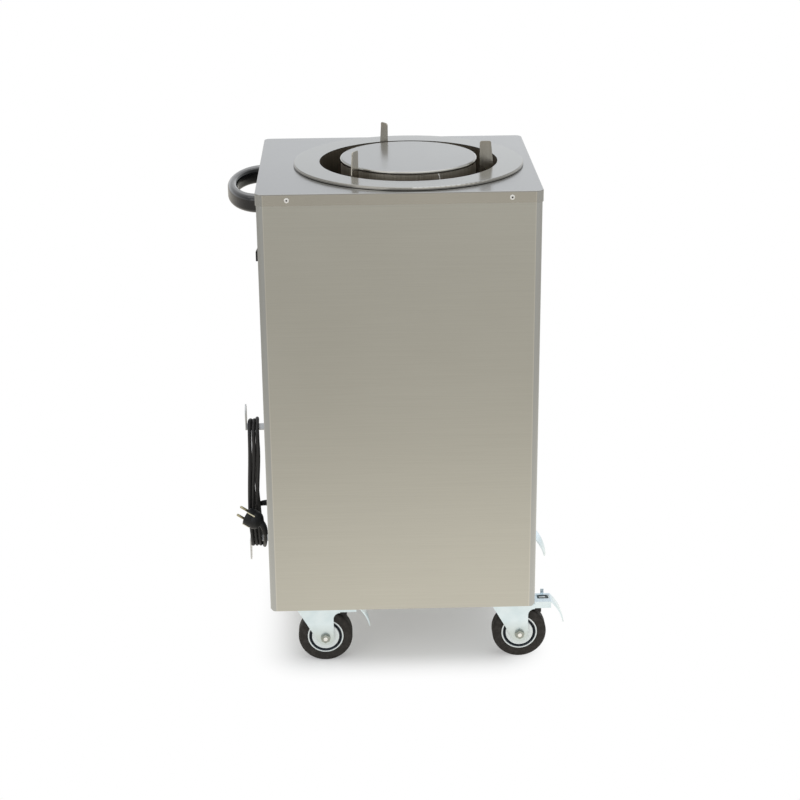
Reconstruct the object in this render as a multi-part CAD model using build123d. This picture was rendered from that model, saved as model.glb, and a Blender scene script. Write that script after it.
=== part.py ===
"""Heated plate dispenser on four braked casters, in millimetres.

The frame stands on the floor: the origin is under the middle of the cabinet, +Z is up, +Y points to the
rear, and the push handle, the controls and the cord are on the -X side.
"""
import os
from math import atan2, cos, degrees, hypot, radians, sin, sqrt, tan

from build123d import *

# ---- Cabinet: a folded shell, a rear panel, a base pan and a riveted cover ----
CABINET_WIDTH = 485.0
CABINET_DEPTH = 433.0
COVER_TOP = 902.0
COVER_SHEET = 1.2
COVER_LIP = 20.0
COVER_BEND_RADIUS = 11.5
COVER_CLEARANCE = 0.3
SHELL_SHEET = 1.0
SHELL_BOTTOM = 126.0
SHELL_BEND_RADIUS = 11.0
SHELL_RETURN = 18.0
CORNER_RELIEF = 7.0
VENT_COUNT = 8
VENT_LENGTH = 70.0
VENT_HEIGHT = 5.0
VENT_PITCH = 14.0
VENT_LOWEST = 190.0
VENT_OFFSET = 70.0
PAN_SHEET = 1.5
PAN_RECESS = 2.0
PAN_FLANGE = 25.0
PAN_VENT_RADIUS = 6.0
PAN_VENT_PITCH = 30.0
PAN_VENT_ROW = 2

RIVET_HEAD_RADIUS = 4.3
RIVET_HEAD_HEIGHT = 1.3
RIVET_SHANK_RADIUS = 2.0
RIVET_MANDREL_RADIUS = 1.2
RIVET_MANDREL_DEPTH = 1.0
RIVET_INSET = 53.5
RIVET_DROP = 10.5
SCREW_HEAD_RADIUS = 4.0
SCREW_HEAD_HEIGHT = 2.2
SCREW_SHANK_RADIUS = 2.0
SCREW_LENGTH = 10.0
SCREW_SLOT_WIDTH = 1.0
SCREW_SLOT_DEPTH = 1.0
SCREW_EDGE = 9.0
PANEL_SCREW_ROWS = 4
PANEL_SCREW_END = 45.0
HOLE_CLEARANCE = 0.1

# ---- Plate well: a ring flange, a slotted tube on stays, a heater and its shield ----
WELL_X = 22.0
TUBE_INNER_RADIUS = 158.2
TUBE_SHEET = 1.0
TUBE_BOTTOM = 240.0
RING_WIDTH = 46.1
RING_HEIGHT = 5.5
RING_SHEET = 1.2
RING_GAP = 0.8
RING_EDGE_RADIUS = 2.5
COVER_HOLE_CLEARANCE = 0.8
FIRST_SLOT_ANGLE = 47.6
ARM_COUNT = 3
ARM_WIDTH = 14.0
SLOT_CLEARANCE = 2.0
SLOT_END_CLEARANCE = 20.0

STAY_WIDTH = 30.0
STAY_SHEET = 2.0
STAY_STANDOFF = 25.8
STAY_SHELF = 40.0
STAY_FOOT = 22.0
SHIELD_SHEET = 1.2
SHIELD_RIM = 16.0
SHIELD_CLEARANCE = 0.2
HEATER_INSET = 50.2
HEATER_TUBE_RADIUS = 4.0
HEATER_BEND = 10.0
HEATER_POST_RADIUS = 5.0
HEATER_POST_HEIGHT = 16.0
HEATER_LEG_ANGLE = 185.0
HEATER_LEG_SPREAD = 18.0
HEATER_LEG_LENGTH = 22.0
CUTOUT_RADIUS = 12.0
CUTOUT_HEIGHT = 9.0
CUTOUT_BLADE = 6.0
CUTOUT_X = -45.0

# ---- Plate platform and its sprung carriage ----
PLATFORM_GAP = 36.6
PLATFORM_RISE = 12.7
PLATFORM_SHEET = 1.5
PLATFORM_LIP = 6.0
PLATFORM_EDGE_RADIUS = 3.0
SKIRT_SHEET = 1.0
SKIRT_DEPTH = 70.0
CARRIAGE_DROP = 200.0
CARRIAGE_SHEET = 3.0
CARRIAGE_HUB_RADIUS = 70.0
CARRIAGE_POST = 12.0
CARRIAGE_POST_RADIUS = 55.0
ARM_END = 11.0
PLATFORM_TRAVEL = 400.0
SPRING_RADIUS = 7.0
SPRING_WIRE = 3.0
SPRING_STANDOFF = 13.8
SPRING_TOP = 880.0
SPRING_EYE_LENGTH = 14.0
SPRING_EYE_RADIUS = 1.5
SEAT_GAP = 0.3
HANGER_WIDTH = 22.0
HANGER_HEIGHT = 34.0
HANGER_SHEET = 2.5

# ---- Plate guides: three blades on pivot rods ----
GUIDE_NAMES = ("rear", "left", "right")
FIRST_GUIDE_ANGLE = 107.6
GUIDE_INSET = 9.7
GUIDE_WIDTH = 20.2
GUIDE_SHEET = 2.0
GUIDE_RISE = 45.0
GUIDE_TURN = 14.0
GUIDE_BOTTOM = 345.0
GUIDE_CORNER = 4.0
GUIDE_FLARE = 4.0
GUIDE_FLARE_RISE = 38.0
GUIDE_ROD_RADIUS = 3.0
GUIDE_ROD_TOP = 893.0
GUIDE_ROD_BOTTOM = 322.0
GUIDE_COLLAR_RADIUS = 5.0
GUIDE_COLLAR_HEIGHT = 4.0
BRACKET_TOP = 874.0
BRACKET_LOW = 333.0
BRACKET_SHEET = 3.0
BRACKET_EYE = 7.0
BRACKET_NOTCH = 1.5
RUNNING_CLEARANCE = 0.05

# ---- Push handle ----
HANDLE_TOP_DROP = 27.0
HANDLE_HEIGHT = 29.0
HANDLE_REACH = 59.0
HANDLE_HALF_SPAN = 124.0
HANDLE_GRIP_WIDTH = 17.0
HANDLE_LEG_WIDTH = 31.0
HANDLE_EDGE_RADIUS = 7.5
HANDLE_BOLT_RADIUS = 3.0
HANDLE_BOLT_DEPTH = 16.0
HANDLE_BOLT_HEAD_RADIUS = 6.0
HANDLE_BOLT_HEAD = 4.0

# ---- Controls on the left wall ----
CONTROL_Z = 767.0
PLATE_THICKNESS = 1.5
PLATE_HEIGHT = 64.0
PLATE_LENGTH = 170.0
PLATE_MARGIN = 35.0
KNOB_Y = -100.0
KNOB_RADIUS = 20.0
KNOB_SKIRT = 3.0
KNOB_GRIP_LENGTH = 24.0
KNOB_GRIP_WIDTH = 9.0
KNOB_GRIP_HEIGHT = 4.0
KNOB_GRIP_SLOPE = 8.0
KNOB_SHAFT_RADIUS = 3.0
KNOB_SHAFT_DEPTH = 14.0
KNOB_SHAFT_PLAY = 1.0
THERMOSTAT_SIZE = 42.0
THERMOSTAT_DEPTH = 32.0
SWITCH_Y = -35.0
SWITCH_BEZEL_HEIGHT = 32.0
SWITCH_BEZEL_WIDTH = 22.0
SWITCH_BEZEL = 2.0
SWITCH_WALL = 1.8
SWITCH_DEPTH = 24.0
ROCKER_WIDTH = 15.0
ROCKER_HEIGHT = 22.0
ROCKER_OUT = 3.0
ROCKER_IN = 5.0
ROCKER_DISH = 1.6
ROCKER_TILT = 8.0
ROCKER_PIN_RADIUS = 1.5
ROCKER_SIDE_GAP = 0.5
ROCKER_END_GAP = 1.4
LAMP_Y = 10.0
LAMP_RADIUS = 6.0
LAMP_BEZEL_RADIUS = 8.0
LAMP_BEZEL = 2.0
LAMP_BODY_DEPTH = 22.0

# ---- Electrical connection ----
GLAND_Y = 30.0
GLAND_Z = 234.0
GLAND_RADIUS = 9.0
GLAND_NUT = 5.0
GLAND_DOME = 5.5
GLAND_DOME_RADIUS = 8.0
GLAND_THREAD_RADIUS = 7.0
GLAND_THREAD = 9.0
TERMINAL_LENGTH = 64.0
TERMINAL_WIDTH = 22.0
TERMINAL_HEIGHT = 20.0
TERMINAL_INSET = 47.5
TERMINAL_WAYS = 5
TERMINAL_SCREW_RADIUS = 3.0
TERMINAL_SCREW_DEPTH = 6.0

# ---- Cord hooks ----
HOOK_HALF_WIDTH = 15.0
HOOK_SHEET = 2.0
HOOK_REACH = 45.0
HOOK_TOP = 404.0
HOOK_LOW = 174.0
HOOK_TONGUE = 43.5
HOOK_FOOT = 22.0
HOOK_SCREW_SPACING = 16.0

# ---- Cord, hank and plug ----
CORD_RADIUS = 3.5
ARC_SHARE = 0.45
HANK_BEND_RADIUS = 21.0
HANK_NEAR = 257.0
HANK_FAR = 282.5
HANK_EDGE = 3.0
GLAND_ROUTE = (
    (-259.0, 30.0, 234.0),
    (-268.0, 30.0, 232.0),
    (-274.5, 29.5, 225.0),
    (-277.5, 28.0, 214.5),
    (-277.0, 25.5, 204.0),
    (-274.0, 21.5, 194.0),
)
PLUG_ROUTE = (
    (-253.8, -56.5, 197.0),
    (-254.5, -50.5, 187.0),
    (-257.0, -41.0, 179.5),
    (-261.0, -29.0, 173.5),
    (-264.5, -16.0, 167.5),
    (-267.0, -5.0, 162.0),
)
PLUG_FACE = (-287.5, -44.0, 241.0)
PLUG_DIRECTION = (-0.85, 0.34, 0.40)
PLUG_RADIUS = 18.0
PLUG_FACE_RADIUS = 16.5
PLUG_BODY = 22.0
PLUG_EDGE = 2.0
PLUG_STRAIGHT = 13.2
PLUG_NECK_RADIUS = 8.0
PLUG_NECK = 8.0
PLUG_RELIEF_RADIUS = 5.5
PLUG_RELIEF_BEND = 9.5
PLUG_RELIEF_TAIL = 8.0
PIN_RADIUS = 2.4
PIN_LENGTH = 19.0
PIN_SPACING = 19.0
EARTH_WIDTH = 7.0
EARTH_THICKNESS = 1.0
EARTH_LENGTH = 12.0

# ---- Casters ----
CASTER_INSET_X = 62.5
CASTER_INSET_Y = 59.5
CASTERS = {"front_left": (-1, -1, 0.0), "front_right": (1, -1, 0.0),
           "rear_right": (1, 1, -15.0), "rear_left": (-1, 1, 25.0)}
WHEEL_RADIUS = 50.0
WHEEL_TRAIL = 37.0
TYRE_HALF_WIDTH = 15.0
TYRE_SHOULDER = 5.0
RIM_RADIUS = 33.0
RIM_HALF_WIDTH = 13.5
RIM_LIP = 3.5
RIM_GROOVE_DEPTH = 5.0
DISC_RADIUS = 26.0
DISC_HALF_WIDTH = 14.5
HUB_RADIUS = 11.0
RIM_SLOPE = 1.0
AXLE_SLEEVE_RADIUS = 6.0
AXLE_RADIUS = 4.0
AXLE_NUT = 15.0
AXLE_NUT_HEIGHT = 6.0
AXLE_END = 1.0
PLATE_X = 100.0
PLATE_Y = 85.0
TOP_PLATE_SHEET = 2.5
BOLT_SPACING_X = 80.0
BOLT_SPACING_Y = 60.0
BOLT_RADIUS = 4.0
BOLT_HEAD = 13.0
BOLT_HEAD_HEIGHT = 5.2
BOLT_NUT_HEIGHT = 6.5
BOLT_END = 3.0
RACE_INNER_RADIUS = 14.0
RACE_OUTER_RADIUS = 26.0
RACE_HEIGHT = 3.2
KINGPIN_RADIUS = 6.0
KINGPIN_HEAD_RADIUS = 10.0
KINGPIN_HEAD = 4.0
FORK_SHEET = 2.5
FORK_INNER_HALF = 18.0
FORK_CROWN_REAR = -22.0
FORK_CROWN_FRONT = 30.0
FORK_TIP_RADIUS = 15.5
FORK_WAIST_RISE = 38.0
FORK_LOBE_REACH = 65.0
FORK_LOBE_TOP = 117.0
PEDAL_PIN_X = 58.0
PEDAL_PIN_Z = 105.5
PEDAL_PIN_RADIUS = 3.0
PEDAL_PIN_HEAD = 1.5
PEDAL_PIN_HEAD_RADIUS = 5.0
PEDAL_HALF_WIDTH = 17.5
PEDAL_SHEET = 2.0
PEDAL_TOP = 113.5
PEDAL_SKIRT = 13.0
PEDAL_EAR_RADIUS = 7.5
PEDAL_ROOT = 95.0
PEDAL_BULGE = (109.5, 96.5)
PEDAL_TIP = (120.4, 65.0)
PEDAL_TIP_HALF_WIDTH = 5.0
PEDAL_SLOT = (69.0, 93.0, -4.0, 11.0)
PEDAL_TAB = (78.0, 84.0)
PEDAL_TAB_TOP = 123.0
PEDAL_TRAVEL = 12.0
PAD_GAP = 1.2
PAD_HALF_WIDTH = 12.0
PAD_ANGLES = (45.0, 61.0)

# ---- Places worked out from the sizes above ----
SHELL_HALF_X = CABINET_WIDTH / 2 - COVER_SHEET - COVER_CLEARANCE
SHELL_HALF_Y = CABINET_DEPTH / 2 - COVER_SHEET - COVER_CLEARANCE
SHELL_TOP = COVER_TOP - COVER_SHEET
SHELL_INNER_X = SHELL_HALF_X - SHELL_SHEET
SHELL_INNER_FRONT = -SHELL_HALF_Y + SHELL_SHEET
RETURN_REAR = SHELL_HALF_Y - SHELL_SHEET
RETURN_FRONT = RETURN_REAR - SHELL_SHEET
PAN_UNDERSIDE = SHELL_BOTTOM + PAN_RECESS
PAN_TOP = PAN_UNDERSIDE + PAN_SHEET
WALL_X = -SHELL_HALF_X
TUBE_OUTER_RADIUS = TUBE_INNER_RADIUS + TUBE_SHEET
RING_OUTER_RADIUS = TUBE_INNER_RADIUS + RING_WIDTH
STAY_RADIUS = TUBE_OUTER_RADIUS + STAY_STANDOFF
SPRING_PITCH_RADIUS = TUBE_OUTER_RADIUS + SPRING_STANDOFF
ARM_REACH = SPRING_PITCH_RADIUS + ARM_END
GUIDE_PIVOT_RADIUS = TUBE_INNER_RADIUS - GUIDE_INSET
HEATER_RADIUS = TUBE_INNER_RADIUS - HEATER_INSET
PLATFORM_RADIUS = TUBE_INNER_RADIUS - PLATFORM_GAP
TERMINAL_X = TERMINAL_INSET - CABINET_WIDTH / 2
CASTER_X = CABINET_WIDTH / 2 - CASTER_INSET_X
CASTER_Y = CABINET_DEPTH / 2 - CASTER_INSET_Y
RING_TOP = COVER_TOP + RING_HEIGHT
TUBE_TOP = RING_TOP - RING_SHEET
PLATFORM_TOP = COVER_TOP + PLATFORM_RISE
CARRIAGE_TOP = PLATFORM_TOP - CARRIAGE_DROP
CARRIAGE_UNDERSIDE = CARRIAGE_TOP - CARRIAGE_SHEET
SHIELD_TOP = TUBE_BOTTOM + SHIELD_SHEET
HEATER_Z = SHIELD_TOP + HEATER_POST_HEIGHT + HEATER_TUBE_RADIUS
PLATE_FACE_X = WALL_X - PLATE_THICKNESS
RIVET_Z = COVER_TOP - RIVET_DROP
HANDLE_Z = COVER_TOP - HANDLE_TOP_DROP - HANDLE_HEIGHT / 2
HANDLE_BOLT_Y = HANDLE_HALF_SPAN - HANDLE_LEG_WIDTH / 2
TOP_PLATE_UNDERSIDE = PAN_UNDERSIDE - TOP_PLATE_SHEET
CROWN_TOP = TOP_PLATE_UNDERSIDE - RACE_HEIGHT - SEAT_GAP
CROWN_UNDERSIDE = CROWN_TOP - FORK_SHEET
FORK_OUTER_HALF = FORK_INNER_HALF + FORK_SHEET
HUB_HALF_WIDTH = FORK_INNER_HALF - SEAT_GAP - RUNNING_CLEARANCE
HOOK_END = WALL_X - HOOK_REACH
HANK_INNER_RADIUS = HANK_BEND_RADIUS - CORD_RADIUS
HANK_OUTER_RADIUS = HANK_BEND_RADIUS + CORD_RADIUS
HANK_CROWN = sqrt(HANK_INNER_RADIUS ** 2 - HOOK_HALF_WIDTH ** 2) - SEAT_GAP
SLOT_ANGLES = [FIRST_SLOT_ANGLE + 360 / ARM_COUNT * i for i in range(ARM_COUNT)]
GUIDE_ANGLES = [FIRST_GUIDE_ANGLE + 360 / ARM_COUNT * i for i in range(ARM_COUNT)]


# ---- Small shape helpers ----
def block(x0, x1, y0, y1, z0, z1):
    """Return a box between two opposite corners."""
    centre = ((x0 + x1) / 2, (y0 + y1) / 2, (z0 + z1) / 2)
    return Pos(*centre) * Box(abs(x1 - x0), abs(y1 - y0), abs(z1 - z0))


def rod(radius, start, end):
    """Return a cylinder from one point to another."""
    start, end = Vector(*start), Vector(*end)
    base = Plane(origin=start, z_dir=end - start)
    return base * extrude(Circle(radius), (end - start).length)


def hexagon(across_flats, start, end):
    """Return a hexagonal prism from one point to another."""
    start, end = Vector(*start), Vector(*end)
    base = Plane(origin=start, z_dir=end - start)
    return base * extrude(RegularPolygon(across_flats / 2, 6, major_radius=False), (end - start).length)


def ring(inner, outer, z0, z1):
    """Return a flat ring about the Z axis, or a disc where the inner radius is zero."""
    section = Circle(outer) - Circle(inner) if inner else Circle(outer)
    return Pos(0, 0, z0) * extrude(section, z1 - z0)


def rounded_prism(half_x, half_y, radius, z0, z1):
    """Return an upright prism with rounded vertical corners."""
    return Pos(0, 0, z0) * extrude(RectangleRounded(2 * half_x, 2 * half_y, radius), z1 - z0)


def at_angle(angle, shape):
    """Turn a shape about the axis of the plate well."""
    return Pos(WELL_X, 0, 0) * Rot(0, 0, angle) * shape


def side_profile(outline, y0, y1):
    """Extrude a closed outline of the X-Z plane from y0 to y1."""
    return Pos(0, y1, 0) * extrude(Plane.XZ * make_face(outline), y1 - y0)


def solids(shapes):
    """Group separate solids in one compound."""
    return Compound(children=[piece for shape in shapes for piece in shape.solids()])


# ---- Cabinet ----
def rivet_places():
    """Return the place and outward direction of each cover rivet."""
    along_x = CABINET_WIDTH / 2 - RIVET_INSET
    along_y = CABINET_DEPTH / 2 - RIVET_INSET
    half_x, half_y = CABINET_WIDTH / 2, CABINET_DEPTH / 2
    places = []
    for side in (-1, 1):
        places += [((side * along_x, end * half_y, RIVET_Z), (0, end, 0)) for end in (-1, 1)]
        places += [((end * half_x, side * along_y, RIVET_Z), (end, 0, 0)) for end in (-1, 1)]
    return places


def along(place, direction, distance):
    """Return the point at a distance from a place."""
    return tuple(p + d * distance for p, d in zip(place, direction))


def rivet_holes():
    """Return the cutters of the rivet holes."""
    depth = COVER_SHEET + COVER_CLEARANCE + 2 * SHELL_SHEET
    radius = RIVET_SHANK_RADIUS + HOLE_CLEARANCE
    return [rod(radius, along(place, out, depth), along(place, out, -2 * depth))
            for place, out in rivet_places()]


def panel_screw_places():
    """Return the centre of each rear panel screw on the panel's outer face."""
    lowest = SHELL_BOTTOM + PANEL_SCREW_END
    highest = COVER_TOP - COVER_LIP - PANEL_SCREW_END
    step = (highest - lowest) / (PANEL_SCREW_ROWS - 1)
    edge = SHELL_HALF_X - SCREW_EDGE - SHELL_SHEET
    return [(side * edge, SHELL_HALF_Y, lowest + step * row)
            for side in (-1, 1) for row in range(PANEL_SCREW_ROWS)]


def panel_screw_holes():
    """Return the cutters of the rear panel's screw holes."""
    radius = SCREW_SHANK_RADIUS + HOLE_CLEARANCE
    return [rod(radius, (x, y + SHELL_SHEET, z), (x, RETURN_FRONT - SHELL_SHEET, z))
            for x, y, z in panel_screw_places()]


def handle_bolt_holes():
    """Return the cutters of the handle's bolt holes."""
    radius = HANDLE_BOLT_RADIUS + HOLE_CLEARANCE
    deep = WALL_X - HANDLE_BOLT_DEPTH - SHELL_SHEET
    return [rod(radius, (-SHELL_INNER_X + SHELL_SHEET, side * HANDLE_BOLT_Y, HANDLE_Z),
                (deep, side * HANDLE_BOLT_Y, HANDLE_Z)) for side in (-1, 1)]


def control_holes():
    """Return the cutters that the controls need in the wall and in the control plate."""
    outer, inner = PLATE_FACE_X - PLATE_THICKNESS, -SHELL_INNER_X + SHELL_SHEET
    half_y = ROCKER_WIDTH / 2 + ROCKER_SIDE_GAP + SWITCH_WALL + HOLE_CLEARANCE
    half_z = ROCKER_HEIGHT / 2 + ROCKER_END_GAP + SWITCH_WALL + HOLE_CLEARANCE
    return [
        rod(KNOB_SHAFT_RADIUS + KNOB_SHAFT_PLAY, (outer, KNOB_Y, CONTROL_Z), (inner, KNOB_Y, CONTROL_Z)),
        block(outer, inner, SWITCH_Y - half_y, SWITCH_Y + half_y, CONTROL_Z - half_z, CONTROL_Z + half_z),
        rod(LAMP_RADIUS + HOLE_CLEARANCE, (outer, LAMP_Y, CONTROL_Z), (inner, LAMP_Y, CONTROL_Z)),
    ]


def hook_screw_places():
    """Return the centre of each hook screw on the hook foot's face."""
    rise = HOOK_SHEET + (HOOK_FOOT - HOOK_SHEET) / 2
    face = WALL_X - HOOK_SHEET
    return [(face, side * HOOK_SCREW_SPACING / 2, level)
            for level in (HOOK_TOP - rise, HOOK_LOW + rise) for side in (-1, 1)]


def wall_fixing_holes():
    """Return the cutters of the gland hole and of the hook screw holes."""
    inner = -SHELL_INNER_X + SHELL_SHEET
    cutters = [rod(SCREW_SHANK_RADIUS + HOLE_CLEARANCE, (x - SCREW_LENGTH, y, z), (inner, y, z))
               for x, y, z in hook_screw_places()]
    cutters.append(rod(GLAND_THREAD_RADIUS + HOLE_CLEARANCE, (WALL_X - SHELL_SHEET, GLAND_Y, GLAND_Z),
                       (inner, GLAND_Y, GLAND_Z)))
    return cutters


def corner_relief():
    """Return the cutters that round the foot of each front bend."""
    cutters = []
    for side in (-1, 1):
        inner = side * (SHELL_HALF_X - CORNER_RELIEF)
        outer = side * (SHELL_HALF_X + CORNER_RELIEF)
        top = SHELL_BOTTOM + CORNER_RELIEF
        front, back = -SHELL_HALF_Y - CORNER_RELIEF, -SHELL_HALF_Y + SHELL_BEND_RADIUS
        square = block(inner, outer, front, back, SHELL_BOTTOM - CORNER_RELIEF, top)
        cutters.append(square - rod(CORNER_RELIEF, (inner, front, top), (inner, back, top)))
    return cutters


def outside_cover():
    """Return the cutter that trims the square rear corners to the inside of the cover lip."""
    low = COVER_TOP - COVER_LIP - COVER_SHEET
    around = block(-CABINET_WIDTH, CABINET_WIDTH, -CABINET_DEPTH, CABINET_DEPTH, low, COVER_TOP)
    return around - rounded_prism(SHELL_HALF_X, SHELL_HALF_Y, SHELL_BEND_RADIUS, low, COVER_TOP)


def make_body_shell():
    """Front and both sides in one folded sheet, with return flanges at the rear."""
    outer = rounded_prism(SHELL_HALF_X, SHELL_HALF_Y, SHELL_BEND_RADIUS, SHELL_BOTTOM, SHELL_TOP)
    inner_radius = SHELL_BEND_RADIUS - SHELL_SHEET
    inner = rounded_prism(SHELL_INNER_X, -SHELL_INNER_FRONT, inner_radius, SHELL_BOTTOM, SHELL_TOP)
    beyond = SHELL_HALF_Y + SHELL_BEND_RADIUS
    bend_start = RETURN_REAR - SHELL_BEND_RADIUS
    rear = block(-SHELL_HALF_X, SHELL_HALF_X, bend_start, beyond, SHELL_BOTTOM, SHELL_TOP)
    shell = outer - inner - rear
    for side in (-1, 1):
        wall = block(side * SHELL_INNER_X, side * SHELL_HALF_X, bend_start, RETURN_REAR,
                     SHELL_BOTTOM, SHELL_TOP)
        flange = block(side * (SHELL_HALF_X - SHELL_RETURN), side * SHELL_HALF_X, RETURN_FRONT, RETURN_REAR,
                       SHELL_BOTTOM, SHELL_TOP)
        shell = shell + wall + flange
    cutters = rivet_holes() + panel_screw_holes() + handle_bolt_holes() + control_holes()
    return shell - (cutters + wall_fixing_holes() + corner_relief() + [outside_cover()])


def make_rear_panel():
    """Flat rear sheet with two columns of vents."""
    panel = block(-SHELL_HALF_X, SHELL_HALF_X, RETURN_REAR, SHELL_HALF_Y, SHELL_BOTTOM, SHELL_TOP)
    vent = extrude(Plane.XZ * SlotOverall(VENT_LENGTH, VENT_HEIGHT), 3 * SHELL_SHEET)
    vents = [Pos(side * VENT_OFFSET, SHELL_HALF_Y + SHELL_SHEET, VENT_LOWEST + VENT_PITCH * row) * vent
             for side in (-1, 1) for row in range(VENT_COUNT)]
    return panel - (vents + panel_screw_holes() + rivet_holes() + [outside_cover()])


def make_top_cover():
    """Folded cover pan with the hole for the plate well."""
    half_x, half_y = CABINET_WIDTH / 2, CABINET_DEPTH / 2
    outer = rounded_prism(half_x, half_y, COVER_BEND_RADIUS, COVER_TOP - COVER_LIP, COVER_TOP)
    top_edge = outer.faces().sort_by(Axis.Z)[-1].edges()
    outer = fillet(top_edge, COVER_SHEET)
    inner = rounded_prism(half_x - COVER_SHEET, half_y - COVER_SHEET, COVER_BEND_RADIUS - COVER_SHEET,
                          COVER_TOP - COVER_LIP, SHELL_TOP)
    opening = Circle(TUBE_OUTER_RADIUS + COVER_HOLE_CLEARANCE)
    hole = Pos(WELL_X, 0, SHELL_TOP) * extrude(opening, 2 * COVER_SHEET)
    return outer - ([inner, hole] + rivet_holes())


def make_base_pan():
    """Tray between the walls, with caster bolt holes and rows of vents."""
    depth = (RETURN_FRONT - SHELL_INNER_FRONT) / 2
    middle = (RETURN_FRONT + SHELL_INNER_FRONT) / 2
    outer = rounded_prism(SHELL_INNER_X, depth, SHELL_BEND_RADIUS, PAN_UNDERSIDE, PAN_TOP + PAN_FLANGE)
    inner_radius = SHELL_BEND_RADIUS - PAN_SHEET
    inner = rounded_prism(SHELL_INNER_X - PAN_SHEET, depth - PAN_SHEET, inner_radius,
                          PAN_TOP, PAN_TOP + PAN_FLANGE)
    pan = Pos(0, middle, 0) * (outer - inner)
    below, above = PAN_UNDERSIDE - PAN_SHEET, PAN_TOP + PAN_SHEET
    cutters = [rod(BOLT_RADIUS + HOLE_CLEARANCE, (x, y, below), (x, y, above))
               for x, y in caster_bolt_places()]
    for column in range(-PAN_VENT_ROW, PAN_VENT_ROW + 1):
        for row in range(-PAN_VENT_ROW, PAN_VENT_ROW + 1):
            x, y = WELL_X + column * PAN_VENT_PITCH, row * PAN_VENT_PITCH
            cutters.append(rod(PAN_VENT_RADIUS, (x, y, below), (x, y, above)))
    return pan - cutters


def make_cover_rivets():
    """Blind rivets through the cover lip and the shell."""
    rivets = []
    for place, out in rivet_places():
        head = rod(RIVET_HEAD_RADIUS, place, along(place, out, RIVET_HEAD_HEIGHT))
        rim = head.faces().sort_by(Axis(place, out))[-1].edges()
        head = fillet(rim, RIVET_HEAD_HEIGHT / 2)
        tail = COVER_SHEET + COVER_CLEARANCE + 2 * SHELL_SHEET
        shank = rod(RIVET_SHANK_RADIUS, place, along(place, out, -tail))
        mouth = rod(RIVET_MANDREL_RADIUS, along(place, out, 2 * RIVET_HEAD_HEIGHT),
                    along(place, out, RIVET_HEAD_HEIGHT - RIVET_MANDREL_DEPTH))
        rivets.append(head + shank - mouth)
    return solids(rivets)


def slotted_screw(place, out):
    """Return a round-head screw whose head sits on a face."""
    head = rod(SCREW_HEAD_RADIUS, place, along(place, out, SCREW_HEAD_HEIGHT))
    head = fillet(head.faces().sort_by(Axis(place, out))[-1].edges(), SCREW_HEAD_HEIGHT / 2)
    shank = rod(SCREW_SHANK_RADIUS, place, along(place, out, -SCREW_LENGTH))
    slot = Box(2 * SCREW_HEAD_RADIUS, SCREW_SLOT_WIDTH, 2 * SCREW_SLOT_DEPTH)
    slot = Plane(origin=along(place, out, SCREW_HEAD_HEIGHT), z_dir=out) * slot
    return head + shank - slot


def make_panel_screws():
    """Screws of the rear panel."""
    return solids([slotted_screw(place, (0, 1, 0)) for place in panel_screw_places()])


# ---- Plate well ----
def make_ring_flange():
    """Pressed ring with a turned-down outer edge, on the tube's top."""
    lip_bottom = COVER_TOP + RING_GAP
    body = ring(TUBE_INNER_RADIUS, RING_OUTER_RADIUS, lip_bottom, RING_TOP)
    outer_edge = body.edges().group_by(Axis.Z)[-1].sort_by(SortBy.RADIUS)[-1]
    body = fillet(outer_edge, RING_EDGE_RADIUS)
    pocket = ring(0, RING_OUTER_RADIUS - RING_SHEET, lip_bottom, TUBE_TOP)
    inner_edge = pocket.edges().group_by(Axis.Z)[-1]
    pocket = fillet(inner_edge, RING_EDGE_RADIUS - RING_SHEET)
    return Pos(WELL_X, 0, 0) * (body - pocket)


def make_dispenser_tube():
    """Open tube with one long slot for each carriage arm."""
    tube = Pos(WELL_X, 0, 0) * ring(TUBE_INNER_RADIUS, TUBE_OUTER_RADIUS, TUBE_BOTTOM, TUBE_TOP)
    half = ARM_WIDTH / 2 + SLOT_CLEARANCE
    low = CARRIAGE_UNDERSIDE - PLATFORM_TRAVEL - SLOT_END_CLEARANCE
    slot = block(0, TUBE_OUTER_RADIUS + TUBE_SHEET, -half, half, low, CARRIAGE_TOP + SLOT_END_CLEARANCE)
    return tube - [at_angle(angle, slot) for angle in SLOT_ANGLES]


def make_tube_stays():
    """Bent stays that stand on the base pan and carry the tube and the shield."""
    half = STAY_WIDTH / 2
    shelf_top = TUBE_BOTTOM
    upright = block(STAY_RADIUS, STAY_RADIUS + STAY_SHEET, -half, half, PAN_TOP, shelf_top)
    shelf = block(STAY_RADIUS - STAY_SHELF, STAY_RADIUS, -half, half, shelf_top - STAY_SHEET, shelf_top)
    foot = block(STAY_RADIUS, STAY_RADIUS + STAY_FOOT, -half, half, PAN_TOP, PAN_TOP + STAY_SHEET)
    stay = upright + shelf + foot
    return solids([at_angle(angle, stay) for angle in GUIDE_ANGLES])


def heater_turn(angle):
    """Return a point of the heater's loop and the loop's direction there."""
    turn = radians(angle)
    place = Vector(HEATER_RADIUS * cos(turn), HEATER_RADIUS * sin(turn), HEATER_Z)
    return place, Vector(-sin(turn), cos(turn), 0)


def heater_end(angle, way):
    """Return one end of the heater's path: the leg's foot, its bend and the loop's end."""
    place, direction = heater_turn(angle)
    low = Vector(0, 0, -HEATER_BEND)
    bend = place + direction * way * HEATER_BEND + low
    middle = place + low + (direction * way - low.normalized()) * (HEATER_BEND * sqrt(1 / 2))
    foot = Vector(bend.X, bend.Y, TUBE_BOTTOM - HEATER_LEG_LENGTH)
    return foot, bend, middle, place


def heater_end_angles():
    """Return the angles at which the heater's loop starts and ends."""
    half_gap = degrees((HEATER_BEND + HEATER_LEG_SPREAD / 2) / HEATER_RADIUS)
    return HEATER_LEG_ANGLE + half_gap, HEATER_LEG_ANGLE + 360 - half_gap


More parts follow.
